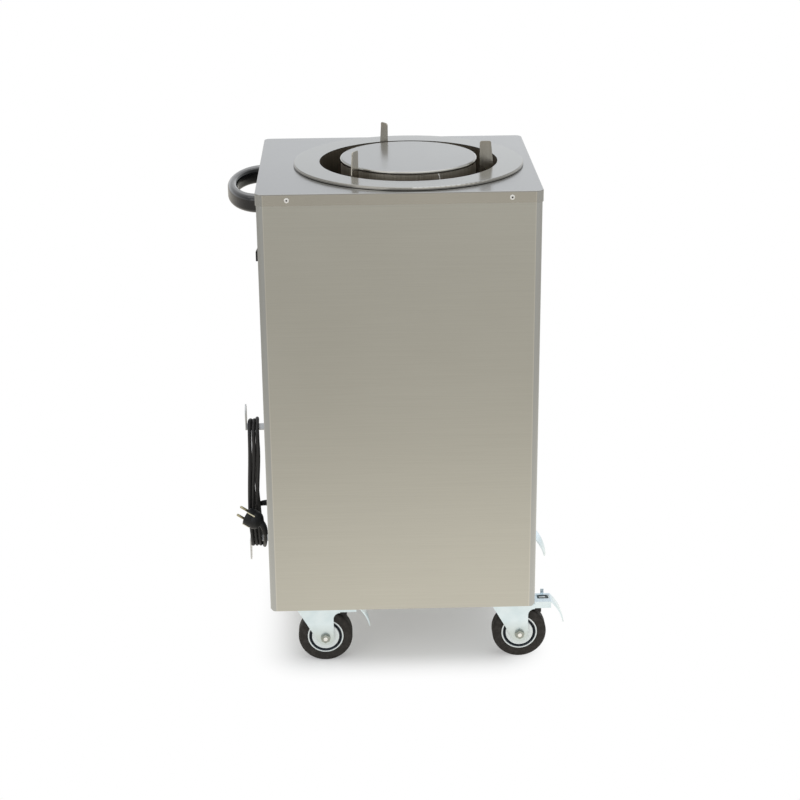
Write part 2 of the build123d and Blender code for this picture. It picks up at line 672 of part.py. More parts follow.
def make_heat_shield():
    """Dished floor of the tube, with posts for the heater."""
    radius = TUBE_INNER_RADIUS - SHIELD_CLEARANCE
    pan = ring(0, radius, TUBE_BOTTOM, TUBE_BOTTOM + SHIELD_RIM)
    pan = pan - ring(0, radius - SHIELD_SHEET, SHIELD_TOP, TUBE_BOTTOM + SHIELD_RIM)
    post = rod(HEATER_POST_RADIUS, (HEATER_RADIUS, 0, SHIELD_TOP),
               (HEATER_RADIUS, 0, SHIELD_TOP + HEATER_POST_HEIGHT))
    shield = Pos(WELL_X, 0, 0) * pan
    shield = shield + [at_angle(angle, post) for angle in SLOT_ANGLES]
    for angle, way in zip(heater_end_angles(), (-1, 1)):
        foot, _, _, _ = heater_end(angle, way)
        hole = rod(HEATER_TUBE_RADIUS + HOLE_CLEARANCE, foot, (foot.X, foot.Y, SHIELD_TOP + SHIELD_SHEET))
        shield = shield - Pos(WELL_X, 0, 0) * hole
    return shield


def make_heater_element():
    """Round tubular heater whose two ends bend down through the shield."""
    start, end = heater_end_angles()
    foot_a, bend_a, middle_a, place_a = heater_end(start, -1)
    foot_b, bend_b, middle_b, place_b = heater_end(end, 1)
    far, _ = heater_turn((start + end) / 2)
    path = Wire([Line(foot_a, bend_a).edge(), ThreePointArc(bend_a, middle_a, place_a).edge(),
                 ThreePointArc(place_a, far, place_b).edge(), ThreePointArc(place_b, middle_b, bend_b).edge(),
                 Line(bend_b, foot_b).edge()])
    section = Plane(origin=foot_a, z_dir=(0, 0, 1)) * Circle(HEATER_TUBE_RADIUS)
    return Pos(WELL_X, 0, 0) * sweep(section, path=path)


def make_limit_thermostat():
    """Snap-disc safety cutout under the shield, with two blade terminals."""
    centre = (WELL_X + CUTOUT_X, 0)
    low = TUBE_BOTTOM - CUTOUT_HEIGHT
    body = rod(CUTOUT_RADIUS, (*centre, low), (*centre, TUBE_BOTTOM))
    half = CUTOUT_BLADE / 2
    blades = [block(centre[0] - half, centre[0] + half, side * half, side * (half + EARTH_THICKNESS),
                    low - 2 * CUTOUT_BLADE, low) for side in (-1, 1)]
    return body + blades


# ---- Platform ----
def make_platform_disc():
    """Round plate rest with a turned-down rim."""
    disc = ring(0, PLATFORM_RADIUS, PLATFORM_TOP - PLATFORM_LIP, PLATFORM_TOP)
    disc = fillet(disc.edges().group_by(Axis.Z)[-1], PLATFORM_EDGE_RADIUS)
    pocket = ring(0, PLATFORM_RADIUS - PLATFORM_SHEET, PLATFORM_TOP - PLATFORM_LIP,
                  PLATFORM_TOP - PLATFORM_SHEET)
    pocket = fillet(pocket.edges().group_by(Axis.Z)[-1], PLATFORM_EDGE_RADIUS - PLATFORM_SHEET)
    return Pos(WELL_X, 0, 0) * (disc - pocket)


def make_platform_skirt():
    """Rolled skirt inside the platform's rim."""
    outer = PLATFORM_RADIUS - PLATFORM_SHEET
    bottom = PLATFORM_TOP - SKIRT_DEPTH
    return Pos(WELL_X, 0, 0) * ring(outer - SKIRT_SHEET, outer, bottom, PLATFORM_TOP - PLATFORM_EDGE_RADIUS)


def make_lift_carriage():
    """Three-armed spider that hangs on the springs, with posts up to the platform."""
    hub = Pos(WELL_X, 0, 0) * ring(0, CARRIAGE_HUB_RADIUS, CARRIAGE_UNDERSIDE, CARRIAGE_TOP)
    half, post_half = ARM_WIDTH / 2, CARRIAGE_POST / 2
    arm = block(0, ARM_REACH, -half, half, CARRIAGE_UNDERSIDE, CARRIAGE_TOP)
    eye = rod(SPRING_EYE_RADIUS + HOLE_CLEARANCE,
              (SPRING_PITCH_RADIUS, 0, CARRIAGE_UNDERSIDE - CARRIAGE_SHEET),
              (SPRING_PITCH_RADIUS, 0, CARRIAGE_TOP + CARRIAGE_SHEET))
    post = block(CARRIAGE_POST_RADIUS - post_half, CARRIAGE_POST_RADIUS + post_half, -post_half, post_half,
                 CARRIAGE_TOP, PLATFORM_TOP - PLATFORM_SHEET)
    carriage = hub
    for angle in SLOT_ANGLES:
        carriage = carriage + at_angle(angle, arm - eye) + at_angle(angle, post)
    return carriage


def spring_body(bottom, top):
    """Return a close-wound spring as a turned body with one bulge for each coil."""
    half = SPRING_WIRE / 2
    mean = SPRING_RADIUS - half
    count = int((top - bottom) / SPRING_WIRE)
    pitch = (top - bottom) / count
    outline = [Line((0, bottom), (mean, bottom))]
    for coil in range(count):
        low = bottom + pitch * coil
        outline.append(ThreePointArc((mean, low), (mean + half, low + pitch / 2), (mean, low + pitch)))
    outline += [Line((mean, top), (0, top)), Line((0, top), (0, bottom))]
    return revolve(Plane.XZ * make_face(outline), Axis.Z)


def make_lift_springs():
    """Extension springs between the hangers and the carriage arms."""
    low, high = CARRIAGE_TOP + SEAT_GAP, SPRING_TOP
    coils = spring_body(low + SPRING_EYE_LENGTH, high - SPRING_EYE_LENGTH)
    eyes = rod(SPRING_EYE_RADIUS, (0, 0, low), (0, 0, high))
    spring = Pos(SPRING_PITCH_RADIUS, 0, 0) * (coils + eyes)
    return solids([at_angle(angle, spring) for angle in SLOT_ANGLES])


def make_spring_hangers():
    """Brackets on the tube's outside that hold the springs' upper eyes."""
    half = HANGER_WIDTH / 2
    arm_low = SPRING_TOP + SEAT_GAP
    arm_top = arm_low + HANGER_SHEET
    back = block(TUBE_OUTER_RADIUS, TUBE_OUTER_RADIUS + HANGER_SHEET, -half, half,
                 arm_top - HANGER_HEIGHT, arm_top)
    arm = block(TUBE_OUTER_RADIUS, ARM_REACH, -half, half, arm_low, arm_top)
    return solids([at_angle(angle, back + arm) for angle in SLOT_ANGLES])


# ---- Plate guides ----
def guide_outline():
    """Return the blade's outline, seen square on, with the pivot line at X = 0."""
    top = COVER_TOP + GUIDE_RISE
    flare_top = COVER_TOP + GUIDE_FLARE_RISE
    points = [(0, top), (GUIDE_WIDTH, top), (GUIDE_WIDTH, GUIDE_BOTTOM), (0, GUIDE_BOTTOM),
              (0, GUIDE_ROD_TOP), (-GUIDE_FLARE, GUIDE_ROD_TOP), (-GUIDE_FLARE, COVER_TOP), (0, flare_top)]
    return Polyline(*points, close=True)


def make_guide():
    """Blade welded to its pivot rod, about the rod's own axis and reaching along -X."""
    blade = side_profile(guide_outline(), -GUIDE_SHEET / 2, GUIDE_SHEET / 2)
    top = COVER_TOP + GUIDE_RISE
    corners = [edge for edge in blade.edges().filter_by(Axis.Y) if abs(edge.center().Z - top) < GUIDE_SHEET]
    blade = fillet(corners, GUIDE_CORNER)
    for bracket_top in (BRACKET_TOP, BRACKET_LOW):
        low = bracket_top - BRACKET_SHEET - BRACKET_NOTCH
        blade = blade - ring(0, BRACKET_EYE + BRACKET_NOTCH, low, bracket_top + BRACKET_NOTCH)
    pivot = rod(GUIDE_ROD_RADIUS, (0, 0, GUIDE_ROD_BOTTOM), (0, 0, GUIDE_ROD_TOP))
    collar_low = BRACKET_LOW + SEAT_GAP
    collar = rod(GUIDE_COLLAR_RADIUS, (0, 0, collar_low), (0, 0, collar_low + GUIDE_COLLAR_HEIGHT))
    return Rot(0, 0, 180) * (blade + pivot + collar)


def place_guide(angle):
    """Put a guide on its pivot and turn it off the radius."""
    return at_angle(angle, Pos(GUIDE_PIVOT_RADIUS, 0, 0) * Rot(0, 0, GUIDE_TURN) * make_guide())


def make_guide_brackets():
    """Two eyes for each guide on the tube's inner wall."""
    eye = Circle(BRACKET_EYE)
    tongue_length = TUBE_INNER_RADIUS - GUIDE_PIVOT_RADIUS
    tongue = Pos(tongue_length, 0) * Rectangle(2 * tongue_length, 2 * BRACKET_EYE)
    plate = Pos(GUIDE_PIVOT_RADIUS, 0) * (eye + tongue - Circle(GUIDE_ROD_RADIUS + RUNNING_CLEARANCE))
    plate = plate & Circle(TUBE_INNER_RADIUS)
    brackets = []
    for angle in GUIDE_ANGLES:
        for top in (BRACKET_TOP, BRACKET_LOW):
            brackets.append(at_angle(angle, Pos(0, 0, top - BRACKET_SHEET) * extrude(plate, BRACKET_SHEET)))
    return solids(brackets)


# ---- Push handle ----
def make_handle_bow():
    """Moulded D-shaped bow on the left wall."""
    inner_reach = HANDLE_REACH - HANDLE_GRIP_WIDTH
    inner_span = HANDLE_HALF_SPAN - HANDLE_LEG_WIDTH
    outline = Ellipse(HANDLE_REACH, HANDLE_HALF_SPAN) - Ellipse(inner_reach, inner_span)
    half = outline & Pos(-HANDLE_REACH / 2, 0) * Rectangle(HANDLE_REACH, 2 * HANDLE_HALF_SPAN)
    bow = extrude(half, HANDLE_HEIGHT)
    long_edges = [edge for edge in bow.edges() if edge.geom_type == GeomType.ELLIPSE]
    bow = fillet(long_edges, HANDLE_EDGE_RADIUS)
    bow = Pos(WALL_X, 0, HANDLE_Z - HANDLE_HEIGHT / 2) * bow
    return bow - handle_bolt_holes()


def make_handle_bolts():
    """Bolts from inside the wall into the handle."""
    bolts = []
    for side in (-1, 1):
        y = side * HANDLE_BOLT_Y
        shank = rod(HANDLE_BOLT_RADIUS, (-SHELL_INNER_X, y, HANDLE_Z),
                    (WALL_X - HANDLE_BOLT_DEPTH, y, HANDLE_Z))
        head = rod(HANDLE_BOLT_HEAD_RADIUS, (-SHELL_INNER_X, y, HANDLE_Z),
                   (-SHELL_INNER_X + HANDLE_BOLT_HEAD, y, HANDLE_Z))
        bolts.append(shank + head)
    return solids(bolts)


# ---- Controls ----
def make_control_plate():
    """Plate that carries the knob, the switch and the lamp."""
    y0 = KNOB_Y - PLATE_MARGIN
    plate = block(PLATE_FACE_X, WALL_X, y0, y0 + PLATE_LENGTH, CONTROL_Z - PLATE_HEIGHT / 2,
                  CONTROL_Z + PLATE_HEIGHT / 2)
    plate = fillet(plate.edges().filter_by(Axis.X), 2 * PLATE_THICKNESS)
    return plate - control_holes()


def make_thermostat_body():
    """Capillary thermostat behind the wall, with a bore for the knob's shaft."""
    half = THERMOSTAT_SIZE / 2
    body = block(-SHELL_INNER_X, -SHELL_INNER_X + THERMOSTAT_DEPTH, KNOB_Y - half, KNOB_Y + half,
                 CONTROL_Z - half, CONTROL_Z + half)
    body = fillet(body.edges().filter_by(Axis.X), 2 * PLATE_THICKNESS)
    bore = rod(KNOB_SHAFT_RADIUS + RUNNING_CLEARANCE, (WALL_X, KNOB_Y, CONTROL_Z),
               (-SHELL_INNER_X + KNOB_SHAFT_DEPTH + SEAT_GAP, KNOB_Y, CONTROL_Z))
    return body - bore


def make_thermostat_knob():
    """Knob with a round skirt, a sloped bar grip and its shaft."""
    back = PLATE_FACE_X - SEAT_GAP
    front = back - KNOB_SKIRT
    tip = front - KNOB_GRIP_HEIGHT
    centre = (KNOB_Y, CONTROL_Z)
    skirt = rod(KNOB_RADIUS, (back, *centre), (front, *centre))
    skirt = fillet(skirt.faces().sort_by(Axis.X)[0].edges(), KNOB_SKIRT / 2)
    low, high = CONTROL_Z - KNOB_GRIP_LENGTH / 2, CONTROL_Z + KNOB_GRIP_LENGTH / 2
    outline = Polyline((back, low), (tip, low), (tip, high - KNOB_GRIP_SLOPE), (front, high),
                       (back, high), close=True)
    grip = side_profile(outline, KNOB_Y - KNOB_GRIP_WIDTH / 2, KNOB_Y + KNOB_GRIP_WIDTH / 2)
    shaft = rod(KNOB_SHAFT_RADIUS, (back, *centre), (-SHELL_INNER_X + KNOB_SHAFT_DEPTH, *centre))
    return skirt + grip + shaft


def rocker_pivot():
    """Return the rocker's pivot point."""
    return (PLATE_FACE_X - SWITCH_BEZEL, SWITCH_Y, CONTROL_Z)


def make_switch_housing():
    """Snap-in switch body with an open front and pivot holes."""
    x = PLATE_FACE_X
    half_y = ROCKER_WIDTH / 2 + ROCKER_SIDE_GAP
    half_z = ROCKER_HEIGHT / 2 + ROCKER_END_GAP
    bezel = block(x - SWITCH_BEZEL, x, SWITCH_Y - SWITCH_BEZEL_WIDTH / 2, SWITCH_Y + SWITCH_BEZEL_WIDTH / 2,
                  CONTROL_Z - SWITCH_BEZEL_HEIGHT / 2, CONTROL_Z + SWITCH_BEZEL_HEIGHT / 2)
    bezel = fillet(bezel.edges().filter_by(Axis.X), PLATE_THICKNESS)
    body = block(x, x + SWITCH_DEPTH, SWITCH_Y - half_y - SWITCH_WALL, SWITCH_Y + half_y + SWITCH_WALL,
                 CONTROL_Z - half_z - SWITCH_WALL, CONTROL_Z + half_z + SWITCH_WALL)
    depth = ROCKER_IN + ROCKER_HEIGHT / 2 * sin(radians(ROCKER_TILT)) + SEAT_GAP
    cavity = block(x - 2 * SWITCH_BEZEL, x + depth, SWITCH_Y - half_y, SWITCH_Y + half_y, CONTROL_Z - half_z,
                   CONTROL_Z + half_z)
    px, _, pz = rocker_pivot()
    reach = half_y + SWITCH_WALL
    pin_hole = rod(ROCKER_PIN_RADIUS + RUNNING_CLEARANCE, (px + ROCKER_IN / 2, SWITCH_Y - reach, pz),
                   (px + ROCKER_IN / 2, SWITCH_Y + reach, pz))
    return bezel + body - cavity - pin_hole


def make_power_rocker():
    """Rocker with a dished face, tilted to its resting side."""
    px, _, pz = rocker_pivot()
    px = px + ROCKER_IN / 2
    outer, inner = px - ROCKER_IN / 2 - ROCKER_OUT, px + ROCKER_IN / 2
    half = ROCKER_HEIGHT / 2
    outline = [Line((inner, pz - half), (outer, pz - half)),
               ThreePointArc((outer, pz - half), (outer + ROCKER_DISH, pz), (outer, pz + half)),
               Line((outer, pz + half), (inner, pz + half)), Line((inner, pz + half), (inner, pz - half))]
    rocker = side_profile(outline, SWITCH_Y - ROCKER_WIDTH / 2, SWITCH_Y + ROCKER_WIDTH / 2)
    pin_half = ROCKER_WIDTH / 2 + ROCKER_SIDE_GAP + SWITCH_WALL / 2
    rocker = rocker + rod(ROCKER_PIN_RADIUS, (px, SWITCH_Y - pin_half, pz), (px, SWITCH_Y + pin_half, pz))
    pivot = Axis((px, SWITCH_Y, pz), (0, 1, 0))
    return rocker.rotate(pivot, ROCKER_TILT)


def make_pilot_lamp():
    """Signal lamp with a domed lens and a body behind the wall."""
    x = PLATE_FACE_X
    centre = (LAMP_Y, CONTROL_Z)
    bezel = rod(LAMP_BEZEL_RADIUS, (x, *centre), (x - LAMP_BEZEL, *centre))
    body = rod(LAMP_RADIUS, (x, *centre), (x + LAMP_BODY_DEPTH, *centre))
    dome = Pos(x - LAMP_BEZEL, *centre) * Sphere(LAMP_RADIUS)
    dome = dome & block(x - LAMP_BEZEL - LAMP_RADIUS / 2, x, LAMP_Y - LAMP_RADIUS, LAMP_Y + LAMP_RADIUS,
                        CONTROL_Z - LAMP_RADIUS, CONTROL_Z + LAMP_RADIUS)
    return bezel + body + dome


# ---- Cord hooks and connection ----
def make_cord_hooks():
    """Two bent hooks whose tongues point away from each other."""
    hooks = []
    half = HOOK_HALF_WIDTH
    for level, way in ((HOOK_TOP, 1), (HOOK_LOW, -1)):
        arm_inner = level - way * HOOK_SHEET
        arm = block(HOOK_END, WALL_X, -half, half, arm_inner, level)
        foot = block(WALL_X - HOOK_SHEET, WALL_X, -half, half, level, level - way * HOOK_FOOT)
        straight = HOOK_TONGUE - half
        tongue = block(HOOK_END, HOOK_END + HOOK_SHEET, -half, half, arm_inner, level + way * straight)
        end = level + way * straight
        tip = rod(half, (HOOK_END, 0, end), (HOOK_END + HOOK_SHEET, 0, end))
        holes = [rod(SCREW_SHANK_RADIUS + HOLE_CLEARANCE, (x - SCREW_LENGTH, y, z), (x + SCREW_LENGTH, y, z))
                 for x, y, z in hook_screw_places()]
        hooks.append(arm + foot + tongue + tip - holes)
    return solids(hooks)


def make_hook_screws():
    """Screws of the two hooks."""
    return solids([slotted_screw(place, (-1, 0, 0)) for place in hook_screw_places()])


def make_cable_gland():
    """Nut and dome on the wall, with the thread through it and a bore for the cord."""
    centre = (GLAND_Y, GLAND_Z)
    nut = hexagon(2 * GLAND_RADIUS, (WALL_X, *centre), (WALL_X - GLAND_NUT, *centre))
    dome = rod(GLAND_DOME_RADIUS, (WALL_X - GLAND_NUT, *centre), (WALL_X - GLAND_NUT - GLAND_DOME, *centre))
    dome = fillet(dome.faces().sort_by(Axis.X)[0].edges(), GLAND_DOME / 2)
    thread = rod(GLAND_THREAD_RADIUS, (WALL_X, *centre), (WALL_X + GLAND_THREAD, *centre))
    lock_nut = hexagon(2 * GLAND_RADIUS, (-SHELL_INNER_X, *centre), (-SHELL_INNER_X + GLAND_NUT, *centre))
    return nut + dome + thread + lock_nut


def make_terminal_block():
    """Terminal strip on the base pan."""
    half_y, half_x = TERMINAL_LENGTH / 2, TERMINAL_WIDTH / 2
    body = block(TERMINAL_X - half_x, TERMINAL_X + half_x, -half_y, half_y, PAN_TOP,
                 PAN_TOP + TERMINAL_HEIGHT)
    top = PAN_TOP + TERMINAL_HEIGHT
    pitch = TERMINAL_LENGTH / TERMINAL_WAYS
    holes = []
    for way in range(TERMINAL_WAYS):
        y = -half_y + pitch * (way + 1 / 2)
        for side in (-1, 1):
            x = TERMINAL_X + side * half_x / 2
            holes.append(rod(TERMINAL_SCREW_RADIUS, (x, y, top + PAN_SHEET),
                             (x, y, top - TERMINAL_SCREW_DEPTH)))
    return body - holes


# ---- Cord ----
def corner_radii(points):
    """Return the largest tangent arcs that the runs of a route allow."""
    radii = []
    for before, corner, after in zip(points, points[1:], points[2:]):
        first, second = Vector(*corner) - Vector(*before), Vector(*after) - Vector(*corner)
        turn = radians(first.get_angle(second))
        radii.append(ARC_SHARE * min(first.length, second.length) / tan(turn / 2))
    return radii


def cord_tube(points):
    """Return a plain tube along straight runs joined by tangent arcs."""
    radii = corner_radii(points)
    path = FilletPolyline(*points, radius=radii)
    direction = Vector(*points[1]) - Vector(*points[0])
    tube = sweep(Plane(origin=points[0], z_dir=direction) * Circle(CORD_RADIUS), path=path)
    print("cord radii", [round(radius, 1) for radius in radii], "length", round(path.length, 1),
          "volume share", round(tube.volume / (path.length * Circle(CORD_RADIUS).area), 4))
    return tube


def gland_mouth():
    """Return the centre of the gland's outer face."""
    return (WALL_X - GLAND_NUT - GLAND_DOME, GLAND_Y, GLAND_Z)


def make_mains_cord():
    """The two stretches of cord that are not in the hank."""
    return solids([cord_tube((gland_mouth(), *GLAND_ROUTE)), cord_tube((relief_end(), *PLUG_ROUTE))])


def racetrack(radius, low, high):
    """Return an upright racetrack in the Y-Z plane, about Y = 0."""
    outline = Plane.YZ * (Pos(0, (low + high) / 2) * Rectangle(2 * radius, high - low)
                          + Pos(0, low) * Circle(radius) + Pos(0, high) * Circle(radius))
    return Pos(-HANK_FAR, 0, 0) * extrude(outline, HANK_FAR - HANK_NEAR)


def make_cord_hank():
    """The wound cord as one closed ring round both hooks."""
    high = HOOK_TOP - HANK_CROWN
    low = HOOK_LOW + HANK_CROWN
    outer = racetrack(HANK_OUTER_RADIUS, low, high)
    faces = outer.faces().sort_by(Axis.X)
    outer = fillet(faces[0].edges() + faces[-1].edges(), HANK_EDGE)
    return outer - racetrack(HANK_INNER_RADIUS, low, high)


def plug_plane():
    """Return the plane of the plug's face, with Z along the pins and Y across them."""
    direction = Vector(*PLUG_DIRECTION).normalized()
    across = direction.cross(Vector(0, 0, 1)).normalized()
    return Plane(origin=PLUG_FACE, x_dir=across, z_dir=direction)


def relief_start():
    """Return where the plug's bent strain relief begins."""
    return Vector(*PLUG_FACE) - Vector(*PLUG_DIRECTION).normalized() * (PLUG_BODY + PLUG_NECK)


def relief_corner():
    """Return the corner of the strain relief's path."""
    return relief_start() - Vector(*PLUG_DIRECTION).normalized() * PLUG_RELIEF_BEND


def relief_end():
    """Return where the cord leaves the strain relief."""
    corner = relief_corner()
    return (corner.X, corner.Y, corner.Z - PLUG_RELIEF_BEND - PLUG_RELIEF_TAIL)


def make_plug_body():
    """Round plug body with a neck and a strain relief that turns down."""
    outline = [(0, 0), (PLUG_FACE_RADIUS, 0), (PLUG_RADIUS, -PLUG_EDGE), (PLUG_RADIUS, -PLUG_STRAIGHT),
               (PLUG_NECK_RADIUS, -PLUG_BODY), (PLUG_NECK_RADIUS, -PLUG_BODY - PLUG_NECK),
               (0, -PLUG_BODY - PLUG_NECK)]
    body = revolve(Plane.XZ * make_face(Polyline(*outline, close=True)), Axis.Z)
    body = plug_plane() * body
    start, corner, end = relief_start(), relief_corner(), relief_end()
    path = FilletPolyline(start, corner, end, radius=PLUG_RELIEF_BEND)
    section = Plane(origin=start, z_dir=corner - start) * Circle(PLUG_RELIEF_RADIUS)
    return body + sweep(section, path=path)


def make_plug_pins():
    """Two round pins and two earth strips on the plug's face."""
    half = PIN_SPACING / 2
    pins = []
    for side in (-1, 1):
        pin = rod(PIN_RADIUS, (0, side * half, 0), (0, side * half, PIN_LENGTH))
        pins.append(fillet(pin.faces().sort_by(Axis.Z)[-1].edges(), PIN_RADIUS / 2))
        strip = block(side * (PLUG_RADIUS + EARTH_THICKNESS), side * PLUG_RADIUS,
                      -EARTH_WIDTH / 2, EARTH_WIDTH / 2, -EARTH_LENGTH, 0)
        pins.append(strip)
    return plug_plane() * solids(pins)


# ---- Casters, each modelled about its swivel axis and trailing along +X ----
def caster_places():
    """Return each caster's name, swivel axis and rest angle."""
    return [(name, sx * CASTER_X, sy * CASTER_Y, turn) for name, (sx, sy, turn) in CASTERS.items()]


def caster_bolt_places():
    """Return every caster bolt's place in plan."""
    return [(x + sx * BOLT_SPACING_X / 2, y + sy * BOLT_SPACING_Y / 2)
            for _, x, y, _ in caster_places() for sx in (-1, 1) for sy in (-1, 1)]


def make_caster_plates():
    """Top plates with a pressed bearing race under each."""
    plates = []
    for _, x, y, _ in caster_places():
        plate = rounded_prism(PLATE_X / 2, PLATE_Y / 2, 2 * BOLT_RADIUS, TOP_PLATE_UNDERSIDE, PAN_UNDERSIDE)
        race = ring(RACE_INNER_RADIUS, RACE_OUTER_RADIUS, TOP_PLATE_UNDERSIDE - RACE_HEIGHT,
                    TOP_PLATE_UNDERSIDE)
        bore = ring(0, KINGPIN_RADIUS + RUNNING_CLEARANCE, TOP_PLATE_UNDERSIDE, PAN_UNDERSIDE)
        plates.append(Pos(x, y, 0) * (plate + race - bore))
    below, above = TOP_PLATE_UNDERSIDE - RACE_HEIGHT, PAN_TOP
    cutters = [rod(BOLT_RADIUS + HOLE_CLEARANCE, (x, y, below), (x, y, above))
               for x, y in caster_bolt_places()]
    return solids([plate - cutters for plate in plates])


def make_caster_bolts():
    """Bolt and nut at every caster plate corner."""
    bolts = []
    for x, y in caster_bolt_places():
        head = hexagon(BOLT_HEAD, (x, y, TOP_PLATE_UNDERSIDE - BOLT_HEAD_HEIGHT), (x, y, TOP_PLATE_UNDERSIDE))
        nut = hexagon(BOLT_HEAD, (x, y, PAN_TOP), (x, y, PAN_TOP + BOLT_NUT_HEIGHT))
        shank = rod(BOLT_RADIUS, (x, y, TOP_PLATE_UNDERSIDE), (x, y, PAN_TOP + BOLT_NUT_HEIGHT + BOLT_END))
        bolts.append(head + shank + nut)
    return solids(bolts)


def make_kingpins():
    """Swivel pins that carry the forks."""
    head_top = CROWN_UNDERSIDE - SEAT_GAP
    shank = ring(0, KINGPIN_RADIUS, head_top, PAN_UNDERSIDE)
    head = ring(0, KINGPIN_HEAD_RADIUS, head_top - KINGPIN_HEAD, head_top)
    head = fillet(head.edges().group_by(Axis.Z)[0], KINGPIN_HEAD / 2)
    return solids([Pos(x, y, 0) * (shank + head) for _, x, y, _ in caster_places()])


def fork_leg_outline():
    """Return the outline of a fork leg in the X-Z plane."""
    axle = (WHEEL_TRAIL, WHEEL_RADIUS)
    start = (FORK_CROWN_REAR, CROWN_TOP)
    dx, dz = axle[0] - start[0], axle[1] - start[1]
    distance = hypot(dx, dz)
    lean = atan2(dz, dx) - atan2(FORK_TIP_RADIUS, sqrt(distance ** 2 - FORK_TIP_RADIUS ** 2))
    touch_distance = sqrt(distance ** 2 - FORK_TIP_RADIUS ** 2)
    touch = (start[0] + touch_distance * cos(lean), start[1] + touch_distance * sin(lean))
    bottom = (axle[0], axle[1] - FORK_TIP_RADIUS)
    front = (axle[0] + FORK_TIP_RADIUS, axle[1])
    waist = (front[0], front[1] + FORK_WAIST_RISE)
    lobe_low = (FORK_LOBE_REACH, PEDAL_PIN_Z - PEDAL_PIN_RADIUS)
    sweep_radius = lobe_low[0] - waist[0]
    middle = (lobe_low[0] - sweep_radius * cos(radians(45)), waist[1] + sweep_radius * sin(radians(45)))
    bend_end = (lobe_low[0], waist[1] + sweep_radius)
    shoulder = FORK_LOBE_REACH - (FORK_LOBE_TOP - PEDAL_PIN_Z) / 2
    crown_end = (FORK_CROWN_FRONT, CROWN_TOP)
    return [Line(start, touch), ThreePointArc(touch, bottom, front), Line(front, waist),
            ThreePointArc(waist, middle, bend_end),
            Line(bend_end, (bend_end[0], PEDAL_PIN_Z + PEDAL_PIN_RADIUS)),
            Line((bend_end[0], PEDAL_PIN_Z + PEDAL_PIN_RADIUS), (shoulder, FORK_LOBE_TOP)),
            Line((shoulder, FORK_LOBE_TOP), (crown_end[0] + FORK_TIP_RADIUS, FORK_LOBE_TOP)),
            Line((crown_end[0] + FORK_TIP_RADIUS, FORK_LOBE_TOP), crown_end), Line(crown_end, start)]


def make_fork():
    """Fork with its crown, two legs and the riveted pedal pin."""
    crown = block(FORK_CROWN_REAR, FORK_CROWN_FRONT, -FORK_OUTER_HALF, FORK_OUTER_HALF,
                  CROWN_UNDERSIDE, CROWN_TOP)
    bore = ring(0, KINGPIN_RADIUS + RUNNING_CLEARANCE, CROWN_UNDERSIDE, CROWN_TOP)
    fork = crown - bore
    outline = fork_leg_outline()
    for side in (-1, 1):
        low, high = sorted((side * FORK_INNER_HALF, side * FORK_OUTER_HALF))
        fork = fork + side_profile(outline, low, high)
    reach = FORK_OUTER_HALF + FORK_SHEET
    axle_hole = rod(AXLE_RADIUS + HOLE_CLEARANCE, (WHEEL_TRAIL, -reach, WHEEL_RADIUS),
                    (WHEEL_TRAIL, reach, WHEEL_RADIUS))
    pin = (PEDAL_PIN_X, PEDAL_PIN_Z)
    pin_half = FORK_OUTER_HALF + PEDAL_PIN_HEAD
    fork = fork - axle_hole + rod(PEDAL_PIN_RADIUS, (pin[0], -pin_half, pin[1]), (pin[0], pin_half, pin[1]))
    for side in (-1, 1):
        fork = fork + rod(PEDAL_PIN_HEAD_RADIUS, (pin[0], side * FORK_OUTER_HALF, pin[1]),
                          (pin[0], side * pin_half, pin[1]))
    return fork


def make_axle():
    """Axle bolt with its spacer sleeve, head and nut."""
    x, z = WHEEL_TRAIL, WHEEL_RADIUS
    nut_end = FORK_OUTER_HALF + AXLE_NUT_HEIGHT
    bolt = rod(AXLE_RADIUS, (x, -nut_end, z), (x, nut_end + AXLE_END, z))
    sleeve = rod(AXLE_SLEEVE_RADIUS, (x, -FORK_INNER_HALF, z), (x, FORK_INNER_HALF, z))
    ends = [hexagon(AXLE_NUT, (x, side * FORK_OUTER_HALF, z), (x, side * nut_end, z)) for side in (-1, 1)]
    return bolt + sleeve + ends


def wheel_turned(points):
    """Turn a half-section, given as radius and width, about the wheel's axis."""
    mirrored = [(radius, -width) for radius, width in reversed(points)]
    outline = Polyline(*(points + mirrored), close=True)
    profile = Plane.XY * make_face(outline)
    return Pos(WHEEL_TRAIL, 0, WHEEL_RADIUS) * revolve(profile, Axis.Y)


def make_rim():
    """Pressed wheel disc with a hub, a dished groove and a bright lip."""
    groove = RIM_HALF_WIDTH - RIM_GROOVE_DEPTH
    lip = RIM_RADIUS - RIM_LIP
    return wheel_turned([
        (AXLE_SLEEVE_RADIUS + RUNNING_CLEARANCE, HUB_HALF_WIDTH), (HUB_RADIUS, HUB_HALF_WIDTH),
        (HUB_RADIUS + RIM_SLOPE, DISC_HALF_WIDTH), (DISC_RADIUS - RIM_SLOPE, DISC_HALF_WIDTH),
        (DISC_RADIUS, groove), (lip, groove), (lip, RIM_HALF_WIDTH), (RIM_RADIUS, RIM_HALF_WIDTH),
    ])


def make_tyre():
    """Solid rubber tyre with rounded shoulders."""
    tyre = wheel_turned([(RIM_RADIUS, RIM_HALF_WIDTH), (RIM_RADIUS + RIM_LIP, TYRE_HALF_WIDTH),
                         (WHEEL_RADIUS, TYRE_HALF_WIDTH)])
    shoulders = tyre.edges().filter_by(GeomType.CIRCLE).group_by(SortBy.RADIUS)[-1]
    return fillet(shoulders, TYRE_SHOULDER)


def released(point):
    """Turn a point of the pressed pedal back to the released pedal."""
    dx, dz = point[0] - PEDAL_PIN_X, point[1] - PEDAL_PIN_Z
    turn = radians(PEDAL_TRAVEL)
    return (PEDAL_PIN_X + dx * cos(turn) - dz * sin(turn), PEDAL_PIN_Z + dz * cos(turn) + dx * sin(turn))


